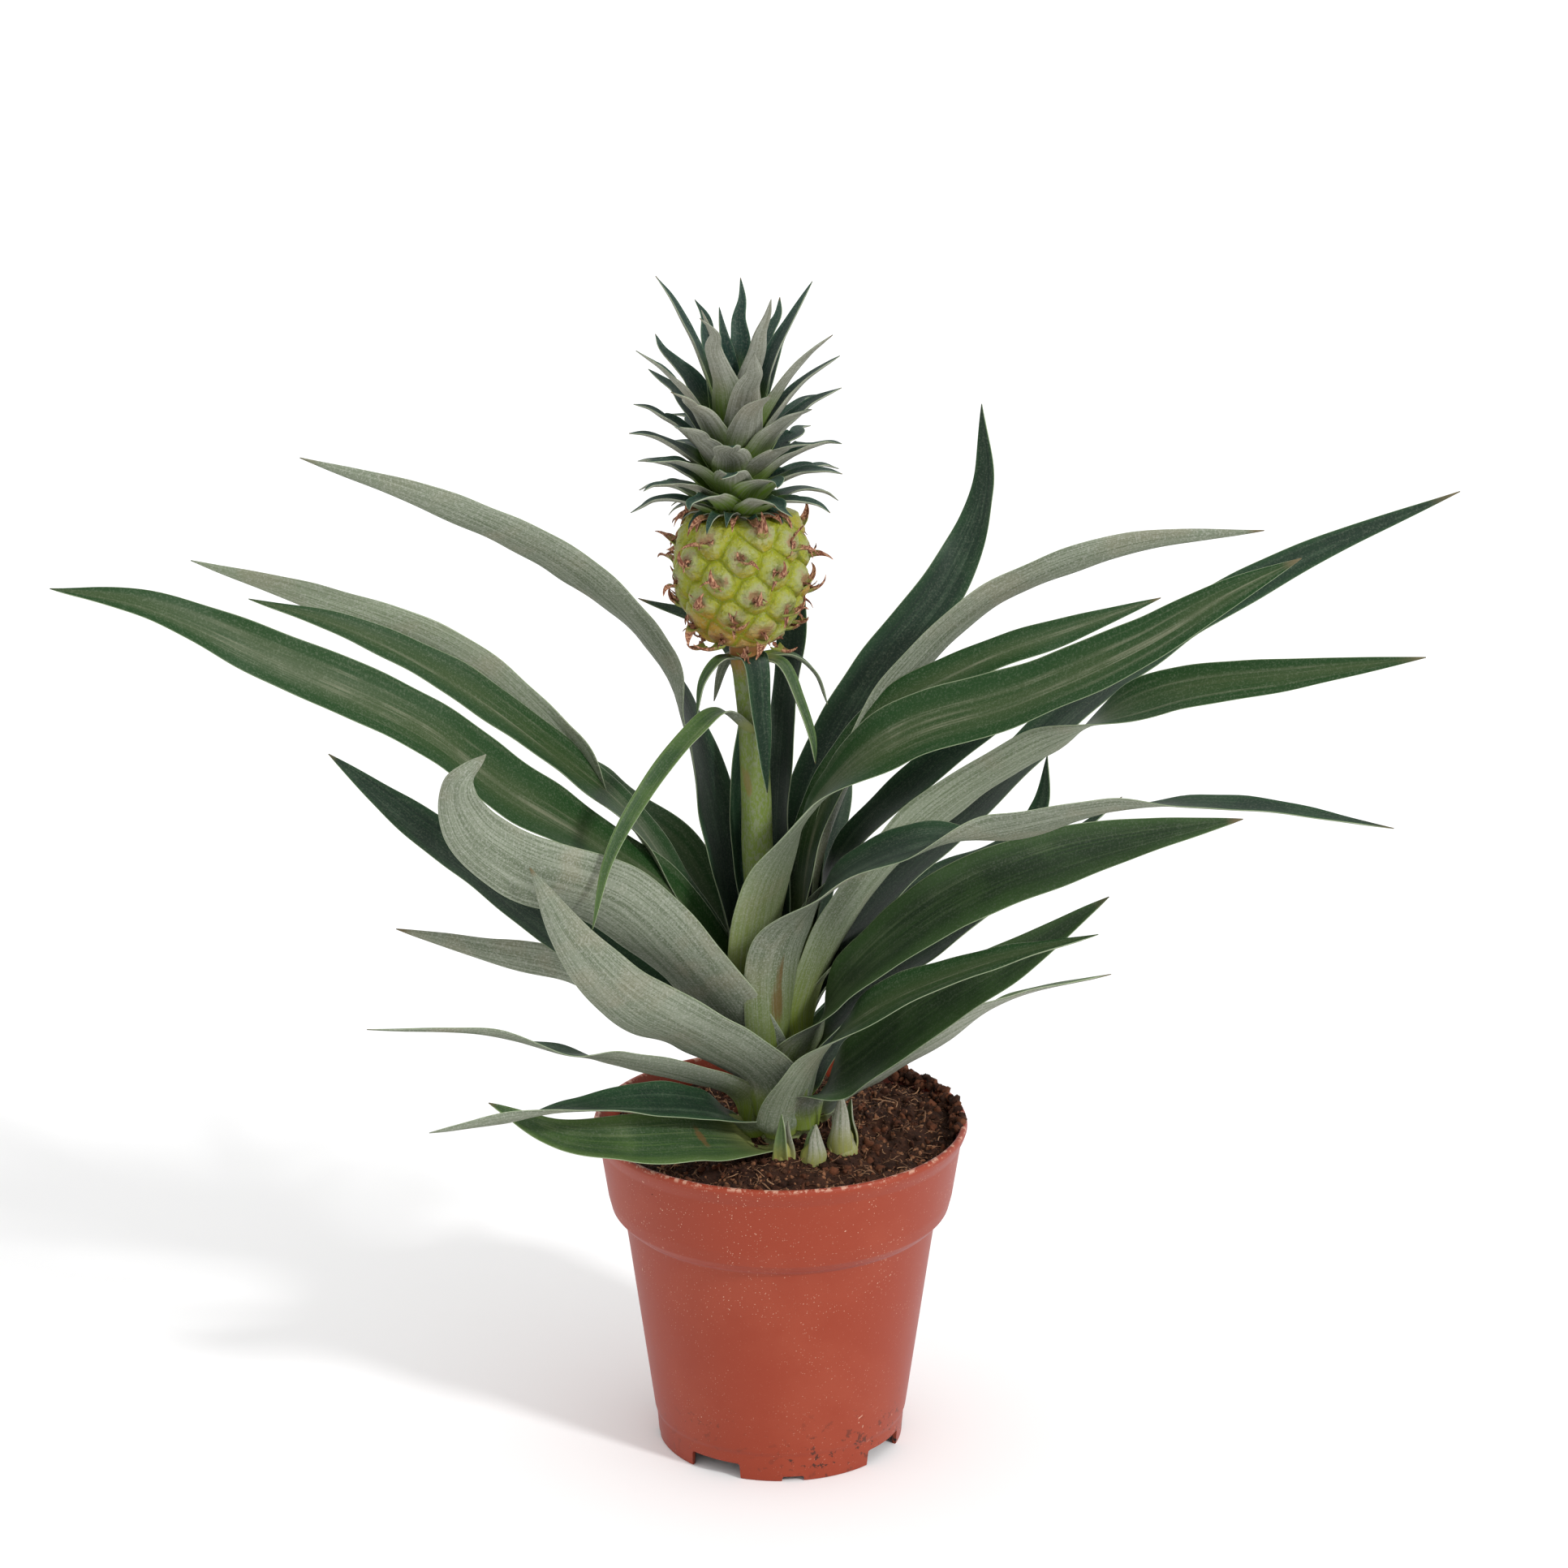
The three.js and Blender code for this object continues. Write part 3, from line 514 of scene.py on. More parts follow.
@dataclass(frozen=True)
class HuskFinish:
    """The dried bract tips of the fruit: green at their foot and pinkish brown at their curl."""

    name: str = "fruit_bract"
    green: Colour = srgb(132, 140, 66)
    brown: Colour = srgb(112, 66, 50)
    pale: Colour = srgb(184, 138, 108)

    def material(self) -> bpy.types.Material:
        """Builds the node material of this finish.

        Returns:
            The material, which reads the blade attribute.
        """
        bench = ShaderBench(self.name)
        place = bench.place()
        cloud = bench.noise(place, 700.0, 3.0, 0.6)
        streak = bench.noise(bench.vector("MULTIPLY", place, (1.0, 1.0, 0.25)), 1800.0)
        start = bench.fields("blade")[1] + (cloud - 0.5) * 0.7
        dry = bench.coats(self.brown, (streak.step(0.42, 0.62), self.pale))
        colour = bench.coats(self.green, (start.step(0.2, 0.5), dry))
        return bench.finish(colour, 0.7, streak, 0.2 * MM, 0.7, specular=0.2)


@dataclass(frozen=True)
class StalkFinish:
    """A green stem under a dense grey bloom."""

    name: str
    green: Colour = srgb(112, 130, 58)
    grey: Colour = srgb(132, 140, 110)
    brown: Colour = srgb(140, 108, 72)
    scorched: Colour = srgb(176, 112, 62)  # the dry ring right under the fruit

    def material(self) -> bpy.types.Material:
        """Builds the node material of this finish.

        Returns:
            The material.
        """
        bench = ShaderBench(self.name)
        place = bench.place()
        speckle = bench.noise(bench.vector("MULTIPLY", place, (1.0, 1.0, 0.45)), 1300.0, 3.0, 0.7)
        cloud = bench.noise(bench.vector("MULTIPLY", place, (1.0, 1.0, 0.4)), 130.0)
        level = bench.split(place)[2] + cloud * 0.012
        ring = level.step(0.264, 0.274) * (1.0 - level.step(0.29, 0.3)) * 0.85
        colour = bench.coats(
            self.green, (speckle.step(0.42, 0.6) * 0.8, self.grey), (cloud.step(0.52, 0.7) * 0.5, self.green),
            (cloud.step(0.66, 0.72) * 0.5, self.brown), (ring, self.scorched))
        return bench.finish(colour, 0.6, speckle, 0.2 * MM, 0.5, specular=0.3)


# ---------------- meshes


@dataclass
class Shell:
    """A closed skin: its points, its faces, and what its shaders read at each point."""

    points: np.ndarray
    faces: list[tuple[int, ...]]
    vectors: dict[str, np.ndarray] = field(default_factory=dict)
    tone: np.ndarray | None = None
    strip: np.ndarray | None = None


def lofted(rings: np.ndarray) -> Shell:
    """The skin through closed rings, with a cap at each end.

    Args:
        rings: One row of points for each ring, all with as many points.

    Returns:
        A bare skin whose faces look outward, with its two caps last.
    """
    rows, ring = rings.shape[:2]
    turn = np.arange(ring)
    ahead = (turn + 1) % ring
    faces = []
    for row in range(rows - 1):
        low, high = row * ring, (row + 1) * ring
        faces += zip(*(a.tolist() for a in (low + turn, low + ahead, high + ahead, high + turn)))
    faces.append(tuple(range(ring - 1, -1, -1)))
    faces.append(tuple(range((rows - 1) * ring, rows * ring)))
    points = rings.reshape(-1, 3)
    quads = np.array(faces[:-2])
    a, b, c, d = (points[quads[:, k]] for k in range(4))
    volume = np.einsum("ij,ij->", np.cross(b - a, c - a) + np.cross(c - a, d - a), a - points.mean(axis=0))
    if volume < 0:
        faces = [tuple(reversed(face)) for face in faces]
    return Shell(points, faces)


def joined(shells: list[Shell]) -> Shell:
    """Several skins as one.

    Args:
        shells: The skins, which all carry the same attributes.

    Returns:
        One skin, which keeps what their shaders read.
    """
    faces, start = [], 0
    for shell in shells:
        faces += [tuple(index + start for index in face) for face in shell.faces]
        start += len(shell.points)
    return Shell(
        np.vstack([shell.points for shell in shells]), faces,
        {name: np.vstack([shell.vectors[name] for shell in shells]) for name in shells[0].vectors},
        np.concatenate([shell.tone for shell in shells]), np.vstack([shell.strip for shell in shells]))


def add_mesh(name: str, shell: Shell, material: bpy.types.Material) -> bpy.types.Object:
    """Makes a smooth-shaded mesh object.

    Args:
        name: The object's name.
        shell: Its skin, in millimetres.
        material: Its material.

    Returns:
        The new object.
    """
    mesh = bpy.data.meshes.new(name)
    mesh.from_pydata((shell.points * MM).tolist(), [], shell.faces)
    for key, values in shell.vectors.items():
        mesh.attributes.new(key, "FLOAT_VECTOR", "POINT").data.foreach_set("vector", values.ravel())
    if shell.tone is not None:
        mesh.attributes.new("tone", "FLOAT", "POINT").data.foreach_set("value", shell.tone)
    if shell.strip is not None:
        corners = np.empty(len(mesh.loops), dtype=np.int32)
        mesh.loops.foreach_get("vertex_index", corners)
        mesh.uv_layers.new(name="strip").data.foreach_set("uv", (shell.strip * MM)[corners].ravel())
    mesh.shade_smooth()
    mesh.materials.append(material)
    mesh.update()
    piece = bpy.data.objects.new(name, mesh)
    bpy.context.scene.collection.objects.link(piece)
    return piece


def settle(piece: bpy.types.Object, slot: str, *nodes: str) -> None:
    """Puts a finished piece on the body.

    Args:
        piece: The piece.
        slot: The slot of its finish; it is not used.
        *nodes: The nodes that it takes the place of.
    """
    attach(piece, BODY)
    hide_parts(*nodes)
    LOG.info("%s: %d faces for %s", piece.name, len(piece.data.polygons), ", ".join(nodes))


# ---------------- blades

# Two waves for each margin of a blade: the radians a millimetre, and what the shade adds.
RIPPLES = (((0.13, 61), (0.31, 23)), ((0.15, 87), (0.27, 51)))


@dataclass(frozen=True)
class BladeShape:
    """How a blade's outline and section run from its foot to its point, in millimetres."""

    width: float = 0.0  # the widest, which each blade gives
    base: float = 0.72  # the width where it clasps, as a share of the widest
    tip: float = 0.3
    taper: float = 3.1
    thickness: float = 0.95
    margin: float = 0.6
    clasp: float = 74.0  # half angle of the section at the foot, in degrees
    channel: float = 26.0  # half angle of the section along the open blade
    wave: float = 0.34  # how far the margins swing
    hanging: bool = False  # its upper face turns outward where it hangs over
    along: int = 110
    across: int = 14


def blade_shell(path: list[tuple], shape: BladeShape, tone: float = 0.5) -> Shell:
    """The skin of a channelled blade that follows a path.

    Args:
        path: The middle of the section as (x, y, z, roll), from the foot to the point.
        shape: The outline and the section.
        tone: What the shaders take as this blade's own shade, from 0 to 1.

    Returns:
        A closed skin with its strip coordinates and its blade attribute.
    """
    rows = np.asarray(path, dtype=float)
    parts = np.linspace(0, 1, shape.along + 1)
    centre = curve_points(rows[:, :3], parts)
    tangent = unit(np.gradient(centre, axis=0))
    outward = rows[-1, :3] - rows[0, :3]
    outward[2] = 0
    lean = np.array([0.0, 0.0, 1.0]) - outward / max(np.linalg.norm(outward), 1e-9)
    normal = unit(lean - tangent * (tangent @ lean)[:, None])
    if shape.hanging:
        normal = unit(np.cross(np.cross(outward, (0.0, 0.0, 1.0)), tangent))
    index, past = spots(len(rows), parts)
    roll = np.radians(lerp(rows[index, 3], rows[index + 1, 3], smooth(0, 1, past)))[:, None]
    normal = normal * np.cos(roll) + np.cross(tangent, normal) * np.sin(roll)
    side = np.cross(tangent, normal)
    travelled = np.concatenate([[0], np.cumsum(np.linalg.norm(np.diff(centre, axis=0), axis=1))])

    base = lerp(shape.base, 1, smooth(0, 0.16, parts))
    half_width = (shape.width * base * (1 - parts**shape.taper) + shape.tip) / 2
    half_width *= 1 + 0.01 * np.sin(travelled * 0.21 + tone * 40)
    half_angle = np.radians(lerp(shape.clasp, shape.channel, smooth(0, 0.3, parts)))
    radius = (half_width / half_angle)[:, None]
    across = np.sin(np.pi / 2 * np.linspace(-1, 1, shape.across + 1))[None, :]
    angle = across * half_angle[:, None]
    middle = radius * (1 - np.cos(half_angle[:, None])) / 2
    swing = shape.wave * np.minimum(1, half_width / 5) * smooth(0.08, 0.3, parts)
    left, right = (
        np.sin(travelled * long[0] + tone * long[1]) + 0.5 * np.sin(travelled * short[0] + tone * short[1])
        for long, short in RIPPLES)
    edge = np.where(across < 0, left[:, None], right[:, None]) * swing[:, None] * np.abs(across) ** 3
    rise = radius * (1 - np.cos(angle)) - middle + edge
    skin = (
        centre[:, None, :] + side[:, None, :] * (radius * np.sin(angle))[..., None]
        + normal[:, None, :] * rise[..., None]
    )
    out = normal[:, None, :] * np.cos(angle)[..., None] - side[:, None, :] * np.sin(angle)[..., None]
    half = lerp(shape.thickness, shape.margin, np.abs(across)) / 2 * np.sqrt(1 - np.abs(across) ** 12)
    half = half * np.minimum(1, 0.25 + half_width / 1.6)[:, None]
    upper, lower = skin + out * half[..., None], skin - out * half[..., None]
    shell = lofted(np.concatenate([upper, lower[:, -2:0:-1]], axis=1))

    around = np.concatenate([across[0], across[0, -2:0:-1]])
    count = shape.across + 1
    face_side = np.concatenate([np.zeros(count), np.ones(len(around) - count)])
    face_side[[0, count - 1]] = 0.5
    grid = np.ones((len(parts), len(around)))
    blade = np.stack([grid * around, grid * parts[:, None], grid * face_side], axis=-1)
    strip = np.stack([grid * shape.width / 2 * around, grid * travelled[:, None]], axis=-1)
    shell.vectors = {"blade": blade.reshape(-1, 3)}
    shell.tone, shell.strip = np.full(len(shell.points), tone), strip.reshape(-1, 2)
    return shell


def curled_path(
    hub: Point, start: Point, angle: float, length: float, curl: float, dice: random.Random,
    roll: float, steps: int = 7, ease: tuple[float, float] = (1.0, 0.0), drift: float = 0.0,
    shake: float = 0.0,
) -> list[tuple]:
    """The path of a small blade that curls as it grows outward from an upright line.

    Args:
        hub: The foot of the line.
        start: The turn about the line, the radius and the height where the path starts.
        angle: Its slope at the start, in degrees.
        length: Its length.
        curl: How much its slope changes over its length, in degrees.
        dice: Draws its shakes and rolls.
        roll: The most that it rolls at its point, either way, in degrees.
        steps: How many stretches it has.
        ease: How strongly it curls at its start, and what that gains towards its point.
        drift: How far it turns about the line in each stretch.
        shake: The most that the turn is off in each stretch, either way.

    Returns:
        The middle of the section as (x, y, z, roll), from the foot to the point.
    """
    around, radius, height = start
    path, stretch = [], length / steps
    for step in range(steps + 1):
        turn = around + drift * step
        if shake:
            turn += dice.uniform(-shake, shake) * step
        x, y = hub[0] + radius * math.cos(turn), hub[1] + radius * math.sin(turn)
        path.append((x, y, hub[2] + height, dice.uniform(-roll, roll) * step / steps))
        radius += stretch * math.cos(math.radians(angle))
        height += stretch * math.sin(math.radians(angle))
        angle += curl / steps * (ease[0] + ease[1] * step / steps)
    return path


@dataclass(frozen=True)
class Leaf:
    """One leaf of the rosette: its height on the stem, its widest width, its finish and its path."""

    name: str
    node: float
    width: float
    kind: LeafKind
    path: list[tuple]
    marks: tuple[tuple, ...] = ()  # scars: where across and along, and how far each way, as shares

    def build(self, axis: PlantAxis, order: int) -> Shell:
        """The skin of this leaf, from where it clasps the stem.

        Args:
            axis: The line that the stem follows.
            order: The leaf's place in the list, which sets its shade.

        Returns:
            The skin with its blade and mark attributes.
        """
        centre = axis.at(self.node)
        first = self.path[0]
        away = unit(np.array([first[0] - centre[0], first[1] - centre[1]]))
        reach = axis.stem_radius(self.node) + 0.9
        root = (centre[0] + reach * away[0], centre[1] + reach * away[1], self.node, first[3] / 2)
        shell = blade_shell([root, *self.path], BladeShape(self.width), order * GOLDEN_SHARE % 1.0)
        across, along = shell.vectors["blade"][:, 0], shell.vectors["blade"][:, 1]
        marked = np.zeros(len(across))
        for a, l, wide, long in self.marks:
            marked = np.maximum(marked, np.exp(-(((across - a) / wide) ** 2) - ((along - l) / long) ** 2))
        shell.vectors["mark"] = np.stack([marked, 0 * marked, 0 * marked], axis=-1)
        return shell


# The innermost leaf first: the middle of each section as (x, y, z, roll), in millimetres.
LEAVES = [
    Leaf("leaf_back_tall", 160, 19, DEEP, [(-2, 9, 172, -30), (-1, 16, 204, -40), (1.5, 20, 243, -35),
        (4.5, 22, 272, -10), (4, 24, 304, -5)]),
    Leaf("leaf_back_hooked", 158, 15, DEEP, [(-8, 10, 172, -5), (-12, 18, 212, -10), (-9, 22, 246, -20),
        (-20, 25, 267, -20), (-45, 26, 277, -15)]),
    Leaf("leaf_right_tall", 156, 20.5, DEEP, [(5, 11, 172, 0), (10, 22, 212, 5), (30, 38, 247, 15),
        (54.5, 54, 276, 40), (65.5, 66, 302, 5), (65, 72, 329, 0)]),
    Leaf("leaf_right_arch", 154, 18, DEEP, [(7, 7, 171, 0), (18, 14, 215, -40), (38, 20, 251, -55),
        (68, 26, 278, -60), (110, 32, 293, -85), (154, 38, 296, -90)]),
    Leaf("leaf_left_high", 152, 22.5, DEEP, [(-11, 6, 158, -30), (-20, 14, 207, -50), (-29, 14, 241, -35),
        (-40, 6, 268, 10), (-66, -14, 299.5, 48), (-104, -38, 326, 72), (-142, -58, 344.5, 82)]),
    Leaf("leaf_left_grey", 150, 26.5, OLIVE, [(-16, 9, 160, -30), (-32, 12, 193, -35), (-53, 10, 217, -5),
        (-70, 5, 238, 32), (-102, 1, 266.5, 56), (-141, -4, 284.5, 80), (-182, -8, 299, 82)]),
    Leaf("leaf_right_inner", 148, 19, OLIVE, [(5, 4, 170, 0), (11, 5, 210, 15), (30, 8, 242, 15),
        (61, 14, 259, 30), (92, 22, 268, 60), (121, 30, 276, 65)]),
    Leaf("leaf_right_short", 146, 19, DEEP, [(9, 6, 177, -30), (23, 8, 202, 5), (46, 11, 224, 20),
        (69, 16, 241, 40), (85, 20, 253, 40)]),
    Leaf("leaf_right_main", 144, 27, OLIVE, [(-8, -9, 158, -15), (-3, -16, 196, -20), (12, -21, 227, 10),
        (37, -28, 249, 45), (72, -38, 264, 50), (108, -46, 283, 60), (134, -50, 300, 75),
        (156, -52, 312, 80)]),
    Leaf("leaf_right_far", 142, 24.5, DEEP, [(8, 5, 153, 0), (27, 9, 179, 10), (62, 20, 210, 10),
        (93, 34, 236.5, 10), (128, 46, 261, 25), (167, 54, 282, 60), (219, 60, 303, 65)]),
    Leaf("leaf_left_green", 140, 22.5, OLIVE, [(-15, 2, 155, -25), (-29, 0, 184, -20), (-46, -3, 213, -15),
        (-66, -8, 233, -25), (-101, -18, 263.5, -40), (-132, -26, 282.5, -45), (-162, -30, 293, -45)]),
    Leaf("leaf_right_level", 138, 24.5, OLIVE, [(8, -2, 151, -15), (22, -6, 185, -25), (48, -12, 218, -40),
        (80, -19, 242, -40), (119, -28, 262.5, 45), (158, -36, 271, 70), (196, -42, 278, 75)]),
    Leaf("leaf_left_long", 136, 28, OLIVE, [(-14, -3, 152, -30), (-31, -14, 187, -25), (-56, -24, 212, -20),
        (-83, -34, 233, -40), (-109, -44, 257, -45), (-154, -56, 283, -65), (-189, -62, 300.5, -55),
        (-217, -64, 306, -50)]),
    Leaf("leaf_rear_high", 134, 20, DEEP, [(2, 14, 150, 0), (10, 40, 178, 0), (18, 68, 196, 0),
        (22, 98, 202, 0)]),
    Leaf("leaf_right_twisted", 132, 25, DEEP, [(-2, -13, 146, -5), (1, -22, 179, -20), (17, -32, 203, 15),
        (40, -42, 218, 20), (69, -55, 227, -40), (100, -68, 239, -25), (139, -84, 245, 20),
        (181, -97, 242, 25)], marks=((0.1, 0.17, 0.2, 0.035), (-0.05, 0.21, 0.08, 0.03))),
    Leaf("leaf_right_slim", 130, 14, DEEP, [(9, 5, 146, -10), (24, 11, 168, 0), (50, 24, 184, 0),
        (77, 40, 191, 10), (85, 47, 201, 20), (87, 50, 217, 20)]),
    Leaf("leaf_right_under", 127, 18, DEEP, [(10, -3, 137, 0), (27, 0, 153, 0), (49, 6, 167, 5),
        (78, 16, 187, 15), (110, 28, 210, 15)]),
    Leaf("leaf_left_dark", 125, 25, DEEP, [(-12, 4, 132, -5), (-42, 4, 152, -20), (-71, 14, 171, -25),
        (-97, 26, 186, -25), (-124, 38, 202.5, -40), (-147, 48, 218, -45)]),
    Leaf("leaf_left_broad", 123, 25.5, DEEP, [(-8, -10, 138, 15), (-23, -24, 165, 30), (-50, -48, 202, 65),
        (-79, -70, 221, 80), (-93, -82, 238, 65), (-95, -86, 252, 25), (-87, -85, 261, -30)]),
    Leaf("leaf_right_broad", 121, 25.5, MOSS, [(6, -12, 137, -20), (20, -20, 164, 30), (53, -32, 196, 55),
        (87, -44, 215, 75), (113, -54, 225, 60), (140, -62, 233, 55)]),
    Leaf("leaf_rear_middle", 119, 20, DEEP, [(-8, 13, 130, 0), (-26, 40, 152, 0), (-42, 66, 164, 0),
        (-54, 92, 166, 0)]),
    Leaf("leaf_left_low", 117, 18, DEEP, [(-12, 7, 127, 40), (-35, 14, 137, 60), (-65, 20, 153, 75),
        (-95, 26, 158, 85), (-125, 30, 164, 85)]),
    Leaf("leaf_left_front", 115, 27, DEEP, [(-4, -14, 128, 20), (-23, -30, 149, 35), (-45, -50, 169, 55),
        (-62, -66, 194, 60), (-75, -78, 223, 60)]),
    Leaf("leaf_rear_low", 113, 19, DEEP, [(8, 14, 122, 0), (26, 38, 138, 0), (40, 62, 146, 0),
        (50, 86, 146, 0)]),
    Leaf("leaf_left_wavy", 112, 14, DEEP, [(-12, -8, 121, 35), (-29, -20, 133, 45), (-51, -30, 142, 35),
        (-69, -38, 148.5, 0), (-91, -46, 157.5, 30), (-127, -60, 164, 30)]),
    Leaf("leaf_right_lower", 111, 25, MOSS, [(10, -9, 121, -10), (23, -14, 133, 40), (48, -26, 158, 55),
        (75, -38, 180, 65), (101, -48, 203, 65)]),
    Leaf("leaf_right_front", 110, 23, OLIVE, [(2, -15, 118, -10), (10, -26, 141, 0), (30, -42, 165, 35),
        (59, -58, 184, 35), (96, -76, 201, 30)]),
    Leaf("leaf_right_thin", 109, 17, FRESH, [(15, 4, 111, -15), (32, 8, 123, -60), (54, 18, 133, -60),
        (77, 30, 141, -20), (109, 44, 143, -10)]),
    Leaf("leaf_left_bent", 109, 18, DEEP, [(-12, -12, 114, 10), (-23, -24, 124, -15), (-41, -40, 132, -20),
        (-63, -54, 136, 0), (-86, -62, 135, 30), (-108, -68, 133, 30)]),
    Leaf("leaf_left_lowest", 108, 24, FRESH, [(-11, -17, 110, 5), (-28, -36, 118, -15),
        (-49, -48, 122, -35), (-69, -50, 125, -50), (-91, -46, 134, -55)],
        marks=((0.1, 0.36, 0.45, 0.014),)),
]

# The bracts that hang from the stalk: a width, a finish and a path for each.
STALK_BRACTS = [
    (6.8, FRESH, [(-9, -3, 242, 0), (-18, -10, 251, 0), (-28, -24, 247.5, -20), (-41, -42, 235.5, -30),
        (-52, -58, 219, -30), (-57, -66, 199, -30)]),
    (5, FRESH, [(-13, -2, 266, 0), (-19, -8, 267, 0), (-24, -11, 261, 0), (-26, -12, 250, 0)]),
    (10.5, DEEP, [(-11, -2, 266.5, 0), (-8, -8, 267, 0), (-6, -10.5, 248, 0), (-4, -10, 224, 0)]),
    (6, FRESH, [(-9, -1, 265, 0), (0, -4, 265, 0), (6, -8, 254, 0), (10, -12, 243, 0), (11, -14, 235, 0)]),
    (6, OLIVE, [(-9, 1, 265, 0), (3, 5, 265, 0), (11, 8, 258, 0), (15, 9, 247, 0)]),
    (6, DEEP, [(-10, 2, 265, 0), (-14, 8, 265, 0), (-18, 13, 258, 0), (-21, 16, 246, 0)]),
]


# ---------------- stem and stalk


@dataclass
class PlantAxis:
    """The line that the stem and the stalk follow, with their radii."""

    line: tuple[Point, ...] = (
        (0, 0, 84), (0, 0, 104), (-2, 0, 132), (-5, 0, 165), (-7, 0, 200), (-8.5, 0, 240), (-11, 0, 268))
    stem_top: float = 166.0
    stalk_top: float = 268.0

    def __post_init__(self) -> None:
        """Reads the line finely once."""
        self._fine = curve_points(np.array(self.line, dtype=float), np.linspace(0, 1, 400))

    def at(self, height: Number) -> np.ndarray:
        """The place of the line at a height, or at each of several."""
        x, y = (np.interp(height, self._fine[:, 2], self._fine[:, k]) for k in (0, 1))
        return np.stack([x, y, np.asarray(height, dtype=float)], axis=-1)

    def stem_radius(self, height: Number) -> Number:
        """The radius of the stem at a height."""
        return lerp(12.0, 6.0, smooth(100, self.stem_top, height))

    def bar(self, heights: np.ndarray, radii: np.ndarray, rough: float, sides: int = 48) -> Shell:
        """A round bar along the line.

        Args:
            heights: The height of each ring.
            radii: The radius of each ring.
            rough: How uneven the skin is.
            sides: How many points a ring has.

        Returns:
            The skin of the bar.
        """
        around = np.linspace(0, 2 * np.pi, sides, endpoint=False)[None, :]
        level, line = heights[:, None], self.at(heights)
        uneven = rough * (np.sin(3 * around + level * 0.21) + 0.7 * np.sin(5 * around - level * 0.13))
        return lofted(rings_of(radii[:, None] + uneven, heights, sides, (line[:, :1], line[:, 1:2])))


@dataclass
class Stem:
    """The short stem in the middle of the rosette, ringed by old leaf scars."""

    axis: PlantAxis
    bottom: float = 86.0
    scar: float = 0.45  # how far a leaf scar stands out
    bevel: float = 0.5

    def build(self) -> None:
        """Makes the stem."""
        low, top = self.bottom, self.axis.stem_top - 0.1
        heights = np.concatenate([[low], np.linspace(low + 0.3, top - 0.3, 150), [top]])
        scars = self.scar * np.abs(np.sin(heights * 0.62)) ** 6
        radii = self.axis.stem_radius(heights) - 0.5 + scars
        radii[[0, -1]] -= self.bevel
        finish = StalkFinish("stem_skin", srgb(140, 152, 92), srgb(168, 172, 134), srgb(120, 96, 66))
        settle(add_mesh("stem", self.axis.bar(heights, radii, 0.12), finish.material()), "stem", "stem")


@dataclass
class Stalk:
    """The stalk of the fruit and the bracts that droop from it."""

    axis: PlantAxis
    bottom_radius: float = 5.2
    top_radius: float = 4.4
    flare: float = 0.5  # what the radius gains right under the fruit
    bevel: float = 0.4
    bract: BladeShape = BladeShape(
        base=1.0, thickness=0.8, clasp=42, channel=34, wave=0.3, hanging=True, along=60, across=10)

    def build(self, finishes: dict[LeafKind, bpy.types.Material]) -> None:
        """Makes the stalk and its bracts.

        Args:
            finishes: The materials of the leaves, which the bracts wear too.
        """
        low, top = self.axis.stem_top, self.axis.stalk_top
        heights = np.concatenate([[low + 0.3], np.linspace(low + 0.6, top + 2.6, 160), [top + 3.0]])
        radii = lerp(self.bottom_radius, self.top_radius, smooth(low, top, heights))
        radii += self.flare * smooth(top - 10, top, heights)
        radii[[0, -1]] -= self.bevel
        bar = self.axis.bar(heights, radii, 0.1)
        settle(add_mesh("stalk", bar, StalkFinish("stalk_skin").material()), "stalk", "stalk")
        for index, (width, kind, path) in enumerate(STALK_BRACTS):
            shell = blade_shell(path, replace(self.bract, width=width), 0.13 + 0.17 * index)
            settle(add_mesh(f"stalk_bract_{index + 1}", shell, finishes[kind]), "stalk", "stalk")


# ---------------- fruit and crown


